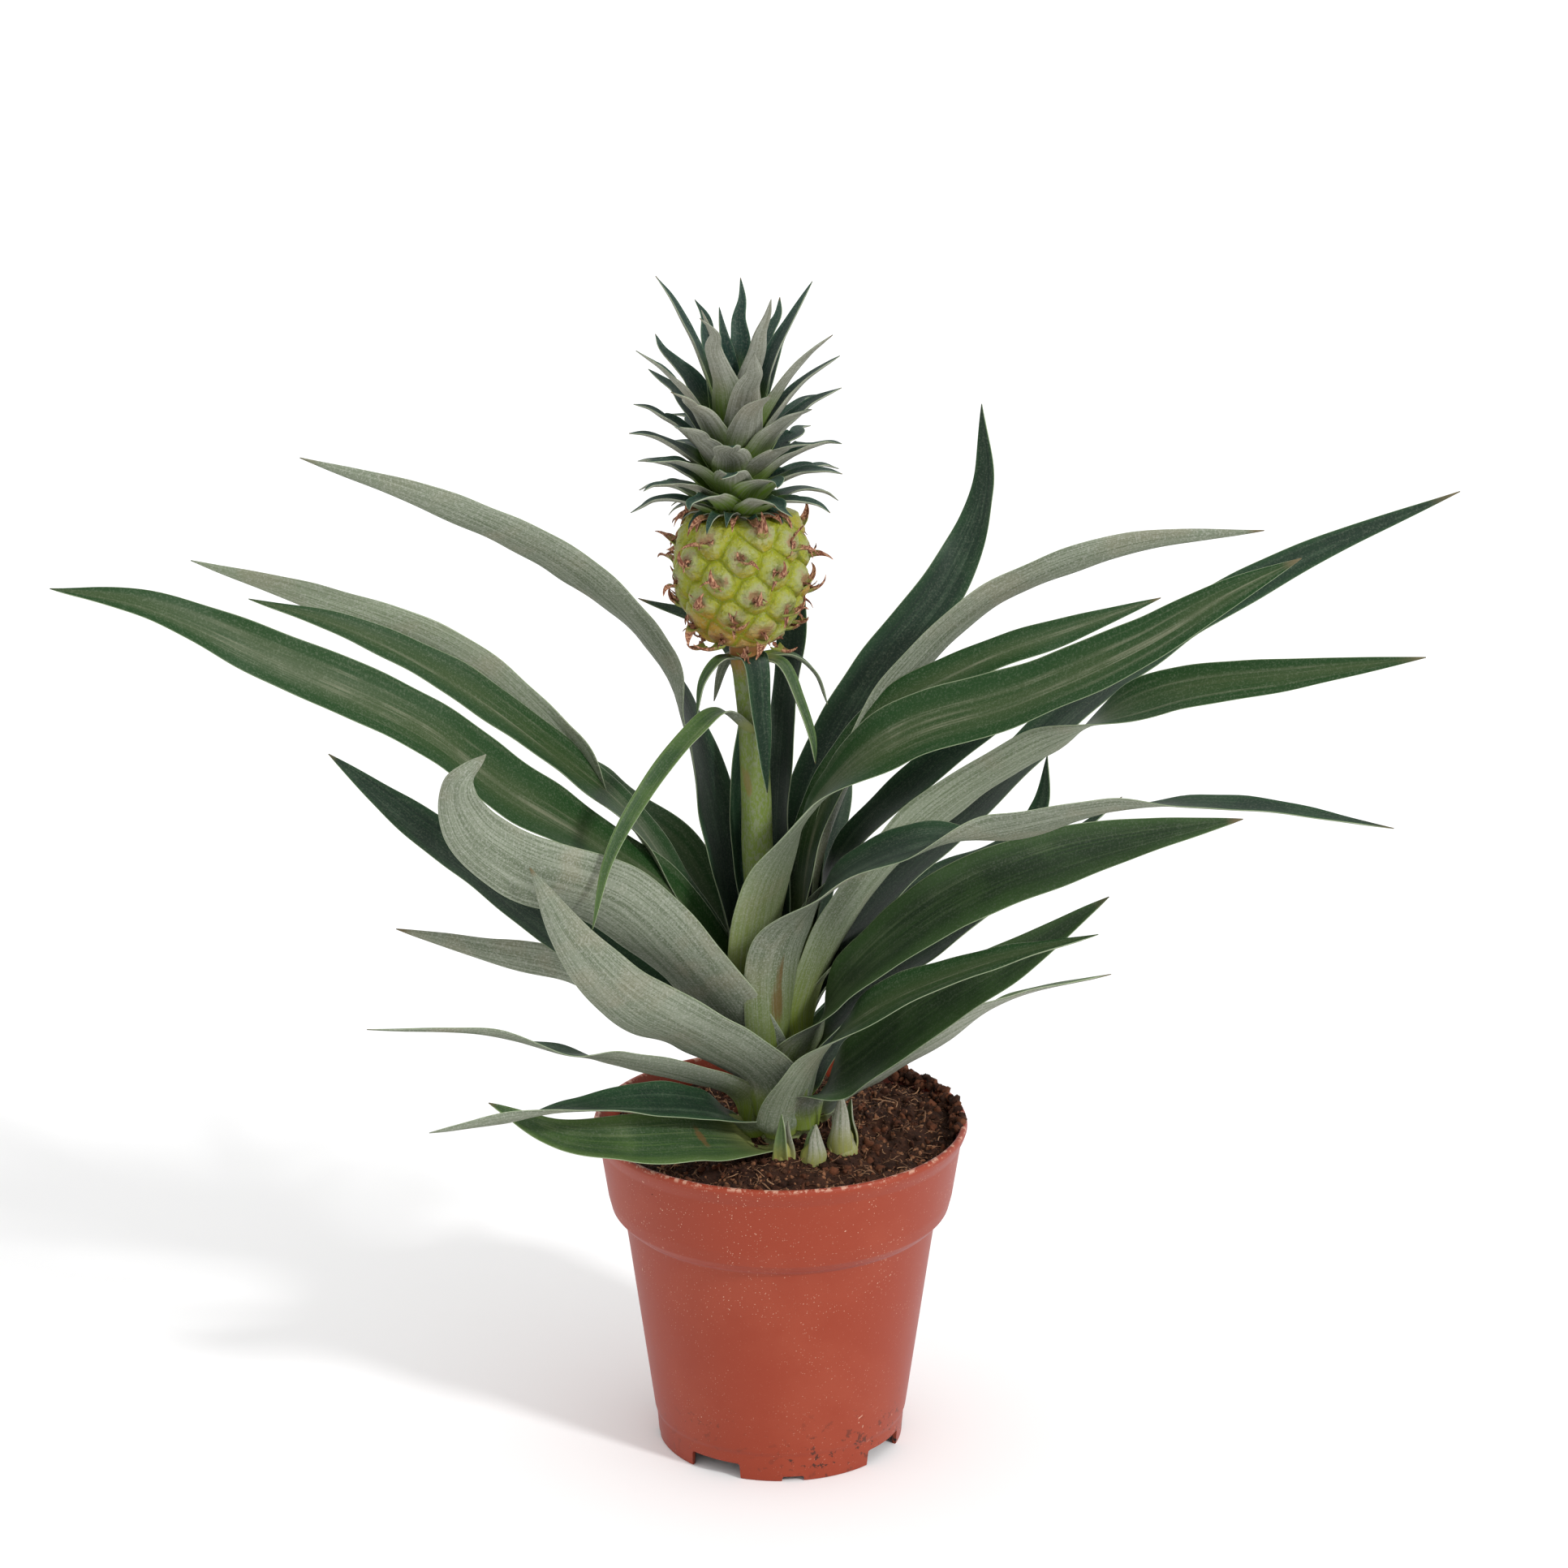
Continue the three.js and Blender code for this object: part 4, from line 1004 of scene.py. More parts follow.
@dataclass
class Fruit:
    """The small fruit: a barrel of domed eyes, each with the dried tip of its bract."""

    centre: float = -12.0
    bottom: float = 268.0
    length: float = 43.5
    radius: float = 19.6
    count: int = 46
    size: float = 6.8
    relief: float = 2.1
    groove: float = 0.75  # how deep the seam between two eyes is, and its width as a share of an eye
    groove_width: float = 0.14
    crease: float = 0.45  # how deep the middle of an eye is
    shreds: int = 3  # in each eye
    sides: int = 330
    rows: int = 190
    dice: random.Random = field(default_factory=lambda: random.Random(11))
    shred: BladeShape = BladeShape(
        base=0.7, taper=1.6, thickness=0.45, margin=0.3, clasp=50, channel=60, wave=0.3, hanging=True,
        along=12, across=4)
    tip: BladeShape = BladeShape(
        base=1.1, tip=0.25, taper=1.1, thickness=0.6, margin=0.35, clasp=55, channel=62, wave=0.7,
        hanging=True, along=18, across=8)

    def barrel(self, part: Number) -> Number:
        """The smooth radius part of the way up."""
        taper = 1 - 0.28 * np.maximum(0, 1 - part / 0.55) ** 2
        return self.radius * np.sin(np.pi * (0.07 + 0.76 * part)) ** 0.4 * lerp(0.93, 1.04, part) * taper

    def eyes(self) -> np.ndarray:
        """Each eye as its turn around the fruit and its part of the way up."""
        index = np.arange(self.count)
        return np.stack([index * GOLDEN_ANGLE, (index + 0.6) / self.count], axis=-1)

    def skin(self) -> Shell:
        """The skin with the relief of its eyes.

        Returns:
            A skin whose eye attribute holds the distance from the middle of the eye and from its
            seam, and the height over its middle, all as shares of an eye.
        """
        part = np.linspace(0, 1, self.rows)
        radii = self.barrel(part) * lerp(0.5, 1, np.sqrt(1 - (1 - np.minimum(1, part / 0.1)) ** 2))
        heights = self.length * part + 2.0 * np.maximum(0, 1 - part / 0.25) ** 2
        foot, top = np.linspace(0.02, 0.97, 14), np.linspace(0.97, 0.02, 16)
        radii = np.concatenate([radii[0] * foot, radii, radii[-1] * top])
        heights = np.concatenate([0.5 * foot**4 + 1.5, heights, self.length + 1.2 * (1 - top**2)])
        around = np.linspace(0, 2 * np.pi, self.sides, endpoint=False)
        eyes = self.eyes()
        turn = around[None, :, None] - eyes[None, None, :, 0]
        turn = (turn + np.pi) % (2 * np.pi) - np.pi
        rise = heights[:, None, None] - self.length * eyes[None, None, :, 1]
        distance = np.hypot(turn * radii[:, None, None], rise)
        order = np.argsort(distance, axis=2)[..., :2]
        near, second = np.moveaxis(np.take_along_axis(distance, order, axis=2), 2, 0)
        above = np.take_along_axis(rise + 0 * turn, order, axis=2)[..., 0] / self.size
        seam = (second - near) / self.size
        dome = self.relief * np.maximum(0, 1 - (near / self.size) ** 2)
        groove = -self.groove * np.exp(-((seam / self.groove_width) ** 2)) * smooth(0, 9, radii)[:, None]
        crease = -self.crease * np.exp(-((near / 1.5) ** 2)) + 0.3 * np.exp(-(((near - 2.6) / 1.1) ** 2))
        lumps = 0.5 * clouds(rings_of(radii, heights, self.sides), 0.34) * smooth(0.05, 0.4, seam)
        reach = radii[:, None] + (dome + crease + lumps) * smooth(2, 12, radii)[:, None] + groove
        shell = lofted(rings_of(reach, self.bottom + heights, self.sides, (self.centre, 0.0)))
        shell.vectors = {"eye": np.stack([near / self.size, seam, above], axis=-1).reshape(-1, 3)}
        shell.tone = (order[..., 0] * GOLDEN_SHARE % 1.0).ravel()
        return shell

    def floret(self, around: float, part: float) -> list[Shell]:
        """The shrivelled rest of one flower: a few thin shreds from the middle of its eye.

        Args:
            around: The turn of the eye around the fruit.
            part: Its part of the way up.

        Returns:
            The skin of each shred.
        """
        shreds, draw = [], self.dice.uniform
        for _ in range(self.shreds):
            length, lean, twist = draw(3.2, 6.4), draw(-70, 70), draw(-1.1, 1.1)
            radius = self.barrel(part) + self.relief - 1.2
            height = self.bottom + self.length * part + draw(-1.2, 0.4)
            turn, curl, path = around + draw(-0.06, 0.06), draw(-40, 40), []
            for _ in range(6):
                x, y = self.centre + radius * math.cos(turn), radius * math.sin(turn)
                path.append((x, y, height, draw(-60, 60)))
                radius += length / 5 * math.cos(math.radians(lean)) * 0.8
                height += length / 5 * math.sin(math.radians(lean))
                turn += length / 5 * twist * 0.03
                lean += curl
            shape = replace(self.shred, width=draw(1.3, 2.6))
            shreds.append(blade_shell(path, shape, self.dice.random()))
        return shreds

    def bract(self, index: int, around: float, part: float) -> Shell:
        """The bract of one eye: broad and green at its foot, and curled where it has dried.

        Args:
            index: The eye's place in the list, which sets the bract's shade.
            around: The turn of the eye around the fruit.
            part: Its part of the way up.

        Returns:
            The skin of the bract.
        """
        draw, low = self.dice.uniform, max(0.0, 1 - part / 0.1)
        length = lerp(7.0, 9.5, part) * draw(0.85, 1.25)
        radius = self.barrel(part) + self.relief - 1.5 - 3.5 * low
        height = self.length * part - 2.4 + 2.2 * low
        angle = lerp(-12, 42, part) + draw(-14, 14)
        curl, drift = draw(26, 62) * self.dice.choice((1, 1, -1)), draw(-0.05, 0.05)
        path = curled_path(
            (self.centre, 0.0, self.bottom), (around, radius, height), angle, length, curl, self.dice, 25,
            steps=6, ease=(1.0, 3.0), drift=drift)
        return blade_shell(path, replace(self.tip, width=draw(4.6, 6.4)), index * GOLDEN_SHARE % 1.0)

    def build(self) -> None:
        """Makes the skin, the bracts and what is left of the flowers."""
        settle(add_mesh("fruit", self.skin(), FruitFinish().material()), "fruit", "fruit")
        bracts = [self.bract(i, a, p) for i, (a, p) in enumerate(self.eyes()) if i > 1]
        settle(add_mesh("fruit_bracts", joined(bracts), HuskFinish().material()), "fruit", "fruit")
        shreds = [shred for a, p in self.eyes()[2:] for shred in self.floret(a, p)]
        dry = HuskFinish("fruit_floret", green=srgb(128, 84, 62), brown=srgb(98, 58, 46))
        settle(add_mesh("fruit_florets", joined(shreds), dry.material()), "fruit", "fruit")


@dataclass
class Crown:
    """The tuft of leaves on top of the fruit."""

    hub: Point = (-13.5, 0.0, 311.8)
    core: float = 38.0
    bottom_radius: float = 10.0
    top_radius: float = 3.5
    leaves: int = 28
    fillers: int = 21
    frills: int = 15
    husks: int = 18
    leaf_turn: float = 0.4  # where the leaves, the fillers and the frills begin around the core
    filler_turn: float = 3.35
    frill_turn: float = 0.9
    filled: float = 0.72  # how far up the fillers go, as a share of the core
    blade: BladeShape = BladeShape(
        base=1.0, taper=1.5, tip=0.25, thickness=0.9, margin=0.5, clasp=58, channel=38, wave=0.3,
        hanging=True, along=46, across=10)
    hook: BladeShape = BladeShape(
        base=1.0, taper=1.2, tip=0.25, thickness=0.7, margin=0.4, clasp=55, channel=42, wave=0.35,
        hanging=True, along=30, across=8)
    shred: BladeShape = BladeShape(
        base=0.9, tip=0.2, taper=1.4, thickness=0.6, margin=0.35, clasp=60, channel=65, wave=0.6,
        hanging=True, along=16, across=8)
    dice: random.Random = field(default_factory=lambda: random.Random(5))

    def leaf(self, around: float, part: float) -> Shell:
        """One leaf.

        Args:
            around: Its turn about the core.
            part: Its place, from 0 at the lowest to 1 at the topmost.

        Returns:
            The skin of the leaf.
        """
        grown = min(1, part / 0.75) ** 2.4
        length = lerp(28, 54, grown) * lerp(1, 0.62, float(smooth(0.8, 1, part)))
        length *= self.dice.uniform(0.97, 1.04)
        width = lerp(10, 16, math.sin(math.pi * part**0.8))
        radius = lerp(self.bottom_radius, self.top_radius, part) - 2.5
        path = curled_path(
            self.hub, (around, radius, lerp(0.6, self.core - 8, part)), lerp(32, 84, part**1.1), length,
            lerp(-92, -16, part**0.7), self.dice, 9, ease=(0.55, 1.0), shake=0.012)
        return blade_shell(path, replace(self.blade, width=width), around * GOLDEN_SHARE % 1.0)

    def frill(self, index: int) -> Shell:
        """One of the small green leaves that hook down over the shoulder of the fruit.

        Args:
            index: Its place among them.

        Returns:
            The skin of the leaf.
        """
        draw = self.dice.uniform
        start = (index * GOLDEN_ANGLE + self.frill_turn, 5.5, draw(-0.4, 1.4))
        angle, curl, length = draw(8, 34), draw(-150, -85), draw(13, 19)
        path = curled_path(self.hub, start, angle, length, curl, self.dice, 16, ease=(0.3, 1.4))
        return blade_shell(path, replace(self.hook, width=draw(6.0, 8.5)), index * 0.43 % 1.0)

    def husk(self, index: int) -> Shell:
        """One of the small dry bracts that curl between the fruit and the crown.

        Args:
            index: Its place among them.

        Returns:
            The skin of the bract.
        """
        draw = self.dice.uniform
        start = (index * GOLDEN_ANGLE * 1.7 + draw(-0.2, 0.2), draw(10.5, 13), draw(-0.6, 1.6))
        angle, curl, length = draw(-5, 35), draw(-150, -40), draw(7, 12)
        path = curled_path(self.hub, start, angle, length, curl, self.dice, 40, steps=6)
        return blade_shell(path, replace(self.shred, width=draw(3.2, 4.6)), index * 0.37 % 1.0)

    def build(self, finish: bpy.types.Material) -> None:
        """Makes the core, the leaves and the dry bracts under them.

        Args:
            finish: The material of the leaves.
        """
        heights = np.linspace(0, self.core, 30)
        radii = np.interp(heights, [0, 0.4 * self.core, self.core], [7.4, 5.6, 2.4])
        core = lofted(rings_of(radii, self.hub[2] + heights, 40, self.hub))
        bark = StalkFinish("crown_core", srgb(128, 148, 72), srgb(158, 168, 118), srgb(120, 104, 72))
        settle(add_mesh("crown_core", core, bark.material()), "crown", "crown")
        frill = [self.frill(index) for index in range(self.frills)]
        places = [(i * GOLDEN_ANGLE + self.leaf_turn, i / (self.leaves - 1)) for i in range(self.leaves)]
        leaves = [self.leaf(*place) for place in places]
        places = [(i * GOLDEN_ANGLE + self.filler_turn, self.filled * (i + 0.2) / self.fillers)
                  for i in range(self.fillers)]
        leaves += frill + [self.leaf(*place) for place in places]
        settle(add_mesh("crown_leaves", joined(leaves), finish), "crown", "crown")
        husks = joined([self.husk(index) for index in range(self.husks)])
        dry = HuskFinish("crown_husk", green=srgb(122, 92, 62))
        settle(add_mesh("crown_husks", husks, dry.material()), "crown", "crown")


# ---------------- pot


def rounded(profile: list[tuple[float, float]], radius: float, closed: bool = False) -> np.ndarray:
    """A profile with each of its corners replaced by a short curve.

    Args:
        profile: The corners.
        radius: How far from a corner its curve begins.
        closed: Whether the last corner meets the first.

    Returns:
        One row for each point.
    """
    corners = [Vector(point) for point in profile]
    count = len(corners)
    smoothed = []
    for index, corner in enumerate(corners):
        if not closed and index in (0, count - 1):
            smoothed.append(tuple(corner))
            continue
        before, after = corners[index - 1], corners[(index + 1) % count]
        cut = min(radius, 0.4 * (before - corner).length, 0.4 * (after - corner).length)
        start = corner + (before - corner).normalized() * cut
        end = corner + (after - corner).normalized() * cut
        for share in (0.0, 0.25, 0.5, 0.75, 1.0):
            smoothed.append(tuple(start.lerp(corner, share).lerp(corner.lerp(end, share), share)))
    return np.array(smoothed)


def bake(piece: bpy.types.Object) -> None:
    """Replaces a piece's mesh by what its modifiers make of it, and takes them off.

    Args:
        piece: The piece, which is already in the scene.
    """
    bpy.context.view_layer.update()
    shaped = piece.evaluated_get(bpy.context.evaluated_depsgraph_get())
    mesh = bpy.data.meshes.new_from_object(shaped)
    piece.modifiers.clear()
    piece.data = mesh


@dataclass
class Pot:
    """The nursery pot: a tapering wall under a collar with a rolled rim, on a notched foot."""

    height: float = 110.0
    rim: float = 60.5
    collar: float = 56.1
    shoulder: float = 50.5
    foot: float = 39.9
    wall: float = 1.5
    floor: float = 6.2
    rounding: float = 0.55
    notches: tuple[Point, ...] = ((-32, 19, 5.4), (6, 8, 1.8))  # turn in degrees, width and height
    drain: Point = (-122, 32, 4.2)  # turn in degrees, distance from the middle and radius
    sides: int = 192

    def profile(self) -> list[tuple[float, float]]:
        """The section of the pot.

        Returns:
            Its corners as (radius, height), from under its middle round to its floor.
        """
        top, wall = self.height, self.wall
        outside = [
            (self.foot, 0), (self.foot + 0.7, 9), (self.foot + 1.3, 10.5), (self.shoulder - 1.4, 68),
            (self.shoulder, 77.5), (self.collar - 3.4, 79.2), (self.collar - 1.4, 81.6),
            (self.collar - 0.3, 86), (self.collar + 0.9, 94), (self.rim - 2.0, top - 6.2),
            (self.rim - 0.7, top - 3.4), (self.rim, top - 1.4), (self.rim - 0.5, top)]
        inside = [
            (self.rim - 1.9, top), (self.rim - 3.9, top - 6.5), (self.collar - 0.4, 96),
            (self.collar - wall, 87), (self.shoulder - wall, 78), (self.foot + 1.3 - wall, self.floor + wall),
            (0.2, self.floor + wall)]
        under = [(0.2, self.floor), (self.foot - wall - 0.2, self.floor), (self.foot - wall, 0)]
        return under + outside + inside

    def notch(self, angle: float, width: float, height: float) -> np.ndarray:
        """The rings of one notch of the foot.

        Args:
            angle: Where it is around the pot, in degrees.
            width: Its width.
            height: Its height.

        Returns:
            A ring behind the foot's wall and one before it.
        """
        turn, half = math.radians(angle), width / 2
        corners = [(-half, -6), (half, -6), (half - 0.5, height), (0.5 - half, height)]
        ring = rounded(corners, 0.9, closed=True)
        return np.stack([
            np.stack([
                ring[:, 0] * math.cos(turn) - y * math.sin(turn),
                ring[:, 0] * math.sin(turn) + y * math.cos(turn), ring[:, 1]], axis=-1)
            for y in (-self.foot - 5, -self.foot + 5)])

    def hole(self, quarter: float) -> np.ndarray:
        """The rings of one drain hole.

        Args:
            quarter: Where the hole's quarter of the pot begins, in degrees.

        Returns:
            A ring under the floor and one over it.
        """
        angle, reach, radius = self.drain
        turn = math.radians(angle + quarter)
        ends = np.array([self.floor - 3.2, self.floor + 3.8])
        return rings_of(np.full(2, radius), ends, 28, (reach * math.cos(turn), reach * math.sin(turn)))

    def build(self) -> None:
        """Makes the pot and cuts its notches and holes."""
        material = PotFinish().material()
        profile = rounded(self.profile(), self.rounding)
        pot = add_mesh("pot", lofted(rings_of(profile[:, 0], profile[:, 1], self.sides)), material)
        cutters = []
        for quarter in (0, 90, 180, 270):
            cutters += [self.notch(quarter + turn, width, height) for turn, width, height in self.notches]
            cutters.append(self.hole(quarter))
        for index, rings in enumerate(cutters):
            cut = pot.modifiers.new("cut", "BOOLEAN")
            cut.object = add_mesh(f"cutter_{index}", lofted(rings), material)
            cut.operation, cut.solver = "DIFFERENCE", "EXACT"
        loose = [cut.object for cut in pot.modifiers]
        bake(pot)
        for cutter in loose:
            bpy.data.objects.remove(cutter)
        pot.data.shade_smooth()
        pot.data.set_sharp_from_angle(angle=math.radians(38))
        settle(pot, "pot", "pot")


# ---------------- soil


class Litter(Enum):
    """What lies loose on the soil."""

    CRUMB = "crumb"
    FIBRE = "fibre"


class GrowthBench(NodeBench):
    """Makes the nodes of one geometry tree."""

    def __init__(self, name: str, inputs: dict[str, tuple[str, float]]) -> None:
        """Starts a tree that takes a geometry and some named numbers.

        Args:
            name: The tree's name.
            inputs: The socket type and the first value of each number.
        """
        self.tree = bpy.data.node_groups.new(name, "GeometryNodeTree")
        face = self.tree.interface
        face.new_socket("Geometry", in_out="INPUT", socket_type="NodeSocketGeometry")
        for label, (kind, value) in inputs.items():
            face.new_socket(label, in_out="INPUT", socket_type=kind).default_value = value
        face.new_socket("Geometry", in_out="OUTPUT", socket_type="NodeSocketGeometry")
        self.start, self.end = self.put("NodeGroupInput"), self.put("NodeGroupOutput")

    def given(self, label: str) -> Wire:
        """What the tree is given under this name."""
        return Wire(self, self.start.outputs[label])

    def chance(self, low: float, high: float, seed: int) -> Wire:
        """A random number between two values for each point."""
        inputs = {2: low, 3: high, 8: seed}
        return self.wire("FunctionNodeRandomValue", 1, inputs, data_type="FLOAT")

    def apply(self, piece: bpy.types.Object, values: dict[str, float]) -> None:
        """Runs the tree on a piece and bakes the result.

        Args:
            piece: The piece.
            values: The value of each named number.
        """
        modifier = piece.modifiers.new("growth", "NODES")
        modifier.node_group = self.tree
        for item in self.tree.interface.items_tree:
            if item.in_out == "INPUT" and item.name in values:
                modifier[item.identifier] = values[item.name]
        bake(piece)


@dataclass(frozen=True)
class Scatter:
    """Loose bits strewn over a patch of soil."""

    name: str
    litter: Litter
    density: float  # pieces to the square metre
    size: float  # the largest radius of a crumb or reach of a fibre, in metres
    seed: int
    finish: PeatFinish

    def tree(self, material: bpy.types.Material) -> GrowthBench:
        """Builds the tree that strews them.

        Args:
            material: What they are made of.

        Returns:
            The bench with the finished tree.
        """
        bench = GrowthBench(self.name, {
            "Density": ("NodeSocketFloat", 1000.0), "Size": ("NodeSocketFloat", 0.001),
            "Seed": ("NodeSocketInt", 1)})
        crumbly = self.litter is Litter.CRUMB
        points = bench.wire("GeometryNodeDistributePointsOnFaces", "Points", {
            "Mesh": bench.given("Geometry"), "Density": bench.given("Density"),
            "Seed": bench.given("Seed")})
        scale = bench.chance(0.45, 1.0, 3) ** 2.2 * bench.given("Size")
        lying = math.pi if crumbly else 0.45
        spin = bench.wire("CombineXYZ", 0, {
            0: bench.chance(-lying, lying, 5), 1: bench.chance(-lying, lying, 6),
            2: bench.chance(0.0, 2 * math.pi, 7)})
        stretch = bench.wire("CombineXYZ", 0, {
            0: bench.chance(0.7, 1.25, 8), 1: bench.chance(0.6, 1.1, 9), 2: bench.chance(0.45, 0.9, 10)})
        placed = bench.wire("GeometryNodeInstanceOnPoints", 0, {
            "Points": points, "Instance": self.crumb(bench) if crumbly else self.fibre(bench),
            "Rotation": spin, "Scale": bench.vector("SCALE", stretch, scale)})
        toned = bench.wire("GeometryNodeStoreNamedAttribute", 0, {
            "Geometry": placed, "Name": "tone", "Value": bench.chance(0.0, 1.0, 12)},
            data_type="FLOAT", domain="INSTANCE")
        real = bench.wire("GeometryNodeRealizeInstances", 0, {0: toned})
        rough = bench.wire("TexNoise", "Color", {"Scale": 700.0 if crumbly else 160.0, "Detail": 1.0})
        centred = bench.vector("SUBTRACT", rough, (0.5, 0.5, 0.5))
        offset = bench.vector("SCALE", centred, bench.given("Size") * (1.3 if crumbly else 0.7))
        moved = bench.wire("GeometryNodeSetPosition", 0, {0: real, "Offset": offset})
        dressed = bench.wire("GeometryNodeSetMaterial", 0, {0: moved, "Material": material})
        bench.tree.links.new(dressed.socket, bench.end.inputs[0])
        return bench

    def crumb(self, bench: GrowthBench) -> Wire:
        """A lump of unit radius with a few dozen faces."""
        return bench.wire("GeometryNodeMeshUVSphere", 0, {"Segments": 7, "Rings": 5, "Radius": 1.0})

    def fibre(self, bench: GrowthBench) -> Wire:
        """A thin bent hair of unit reach.

        Args:
            bench: The tree that takes it.

        Returns:
            Its geometry.
        """
        arc = bench.wire("GeometryNodeCurveArc", 0, {
            "Resolution": 7, "Radius": 1.0, "Start Angle": -0.6, "Sweep Angle": 1.2})
        back = bench.wire("GeometryNodeTransform", 0, {0: arc, "Translation": (-1.0, 0.0, 0.12)})
        ring = bench.wire("GeometryNodeCurvePrimitiveCircle", 0, {"Resolution": 4, "Radius": 0.032})
        return bench.wire("GeometryNodeCurveToMesh", 0, {
            0: back, "Profile Curve": ring, "Fill Caps": True})

    def build(self, patch: Shell) -> None:
        """Strews the bits.

        Args:
            patch: The skin that they lie on, which they replace.
        """
        material = self.finish.material()
        piece = add_mesh(self.name, patch, material)
        density = self.density * 1.0
        self.tree(material).apply(piece, {"Density": density, "Size": self.size, "Seed": self.seed})
        piece.data.shade_smooth()
        settle(piece, "soil", "soil")


@dataclass
class Soil:
    """The peat that fills the pot, with its crumbs and its fibres."""

    edge: float = 103.0
    mound: float = 3.5
    bump: float = 0.9
    heap: float = 5.0
    heap_at: tuple[float, float] = (44.0, 20.0)
    heap_reach: float = 26.0
    side: tuple[tuple[float, float], ...] = (
        (0.3, 8.0), (39.2, 8.0), (48.2, 78.0), (53.7, 87.0), (55.1, 96.0), (56.0, 101.0))
    spill: tuple[tuple[float, float], ...] = ((55.5, 107.2), (57.5, 109.5), (59.2, 110.6))
    spill_turns: tuple[float, float] = (-8.0, 62.0)  # in degrees
    sides: int = 220

    def rise(self, x: np.ndarray, y: np.ndarray) -> np.ndarray:
        """The uneven surface.

        Args:
            x: Where to read it, to the right.
            y: Where to read it, to the back.

        Returns:
            How high it is over its edge.
        """
        radius = np.hypot(x, y)
        mound = self.mound * (1 - smooth(10, 46, radius))
        off = np.hypot(x - self.heap_at[0], y - self.heap_at[1]) / self.heap_reach
        heap = self.heap * np.exp(-(off**2))
        broad = np.sin(0.31 * x + 1.3) * np.cos(0.27 * y)
        fine = 0.7 * np.sin(0.53 * (x - y)) * np.cos(0.47 * x + 0.33 * y)
        return mound + heap + self.bump * (broad + fine) * (1 - smooth(48, 55, radius))

    def surface(self) -> np.ndarray:
        """The top of the soil.

        Returns:
            Its rings, from the pot's wall to the middle.
        """
        across = np.concatenate([np.linspace(56.2, 3, 76), [1.0, 0.2]])
        top = rings_of(across, np.full(len(across), 23.0), self.sides)
        height = self.edge + self.rise(top[..., 0], top[..., 1]) + clouds(top, 0.16) - 0.6
        height[-2:] = height[-2:].mean()
        top[..., 2] = height
        return top

    def rim(self, count: int = 60) -> Shell:
        """The strip of the pot's rim where peat was spilt.

        Args:
            count: How many points it has in a row.

        Returns:
            An open skin.
        """
        turns = np.linspace(*np.radians(self.spill_turns), count)
        band = [(r * math.cos(a), r * math.sin(a), z) for r, z in self.spill for a in turns]
        corners = [i * count + j for i in range(len(self.spill) - 1) for j in range(count - 1)]
        return Shell(np.array(band), [(a, a + 1, a + count + 1, a + count) for a in corners])

    def build(self) -> None:
        """Makes the soil, then strews its surface and the rim."""
        side, top = np.array(self.side), self.surface()
        body = lofted(np.concatenate([rings_of(side[:, 0], side[:, 1], self.sides), top]))
        body.tone = np.full(len(body.points), 0.3)
        ground = PeatFinish("peat", srgb(44, 25, 16), srgb(98, 60, 40))
        settle(add_mesh("soil", body, ground.material()), "soil", "soil")

        patch = lofted(top[2:-2])
        patch.faces = patch.faces[:-2]
        dark = PeatFinish("peat_crumb", srgb(46, 25, 15), srgb(108, 64, 42))
        mixed = replace(dark, light=srgb(150, 104, 74))
        pale = PeatFinish("peat_fibre", srgb(70, 38, 24), srgb(190, 146, 110), 0.75, 1500.0)
        Scatter("soil_clods", Litter.CRUMB, 60_000, 2.1 * MM, 3, dark).build(patch)
        Scatter("soil_crumbs", Litter.CRUMB, 230_000, 1.0 * MM, 8, mixed).build(patch)
        Scatter("soil_fibres", Litter.FIBRE, 130_000, 7.5 * MM, 5, pale).build(patch)
        Scatter("soil_on_rim", Litter.CRUMB, 500_000, 1.9 * MM, 6, dark).build(self.rim())


# ---------------- offsets and rosette


@dataclass(frozen=True)
class Offset:
    """A young shoot on the soil."""

    name: str
    at: tuple[float, float]
    height: float
    width: float
    leaves: int
    turn: float
    spread: float
    foot: float = 98.3  # the height at which it stands in its hole
    soil: float = 103.0  # the height of the soil round it

    def build(self, material: bpy.types.Material) -> None:
        """Makes the shoot's short stem and its pointed leaves.

        Args:
            material: What it wears.
        """
        low = self.foot
        levels = np.array([low, low + 0.3, *(self.soil + share * self.height for share in (0, 0.35, 0.6))])
        radii = self.width / 2 * np.array([0.9, 0.98, 0.95, 0.75, 0.15])
        stem = lofted(rings_of(radii, levels, 24, self.at))
        ones = np.ones(len(stem.points))
        stem.vectors = {"blade": np.stack([0 * ones, 0.15 * ones, ones], axis=-1)}
        stem.tone = 0.4 * ones
        stem.strip = np.stack([np.tile(np.linspace(0, 8, 24), 5), stem.points[:, 2]], axis=-1)
        shells = [stem]
        shape = BladeShape(
            self.width * 0.98, base=1.1, taper=1.7, thickness=0.9, clasp=75, channel=44, wave=0.2,
            along=40, across=10)
        for index in range(self.leaves):
            turn = math.radians(self.turn) + index * GOLDEN_ANGLE
            top = self.soil + 3 + self.height * (1 - 0.22 * index)
            path = [
                (self.at[0] + radius * math.cos(turn), self.at[1] + radius * math.sin(turn), level, 0)
                for radius, level in (
                    (self.width * 0.3, low + 3.3), (self.width * 0.44, lerp(low, top, 0.45)),
                    (self.width * 0.3, lerp(low, top, 0.75)), (self.spread * 0.55, top))]
            shells.append(blade_shell(path, shape, 0.2 + 0.3 * index))
        settle(add_mesh(self.name, joined(shells), material), "offset", self.name)


OFFSETS = (
    Offset("offset_left", (1, -22), 15, 6, 3, 250, 3),
    Offset("offset_middle", (10, -20), 11, 9, 2, 300, 5),
    Offset("offset_right", (20, -14), 20, 9, 4, 258, 6),
)


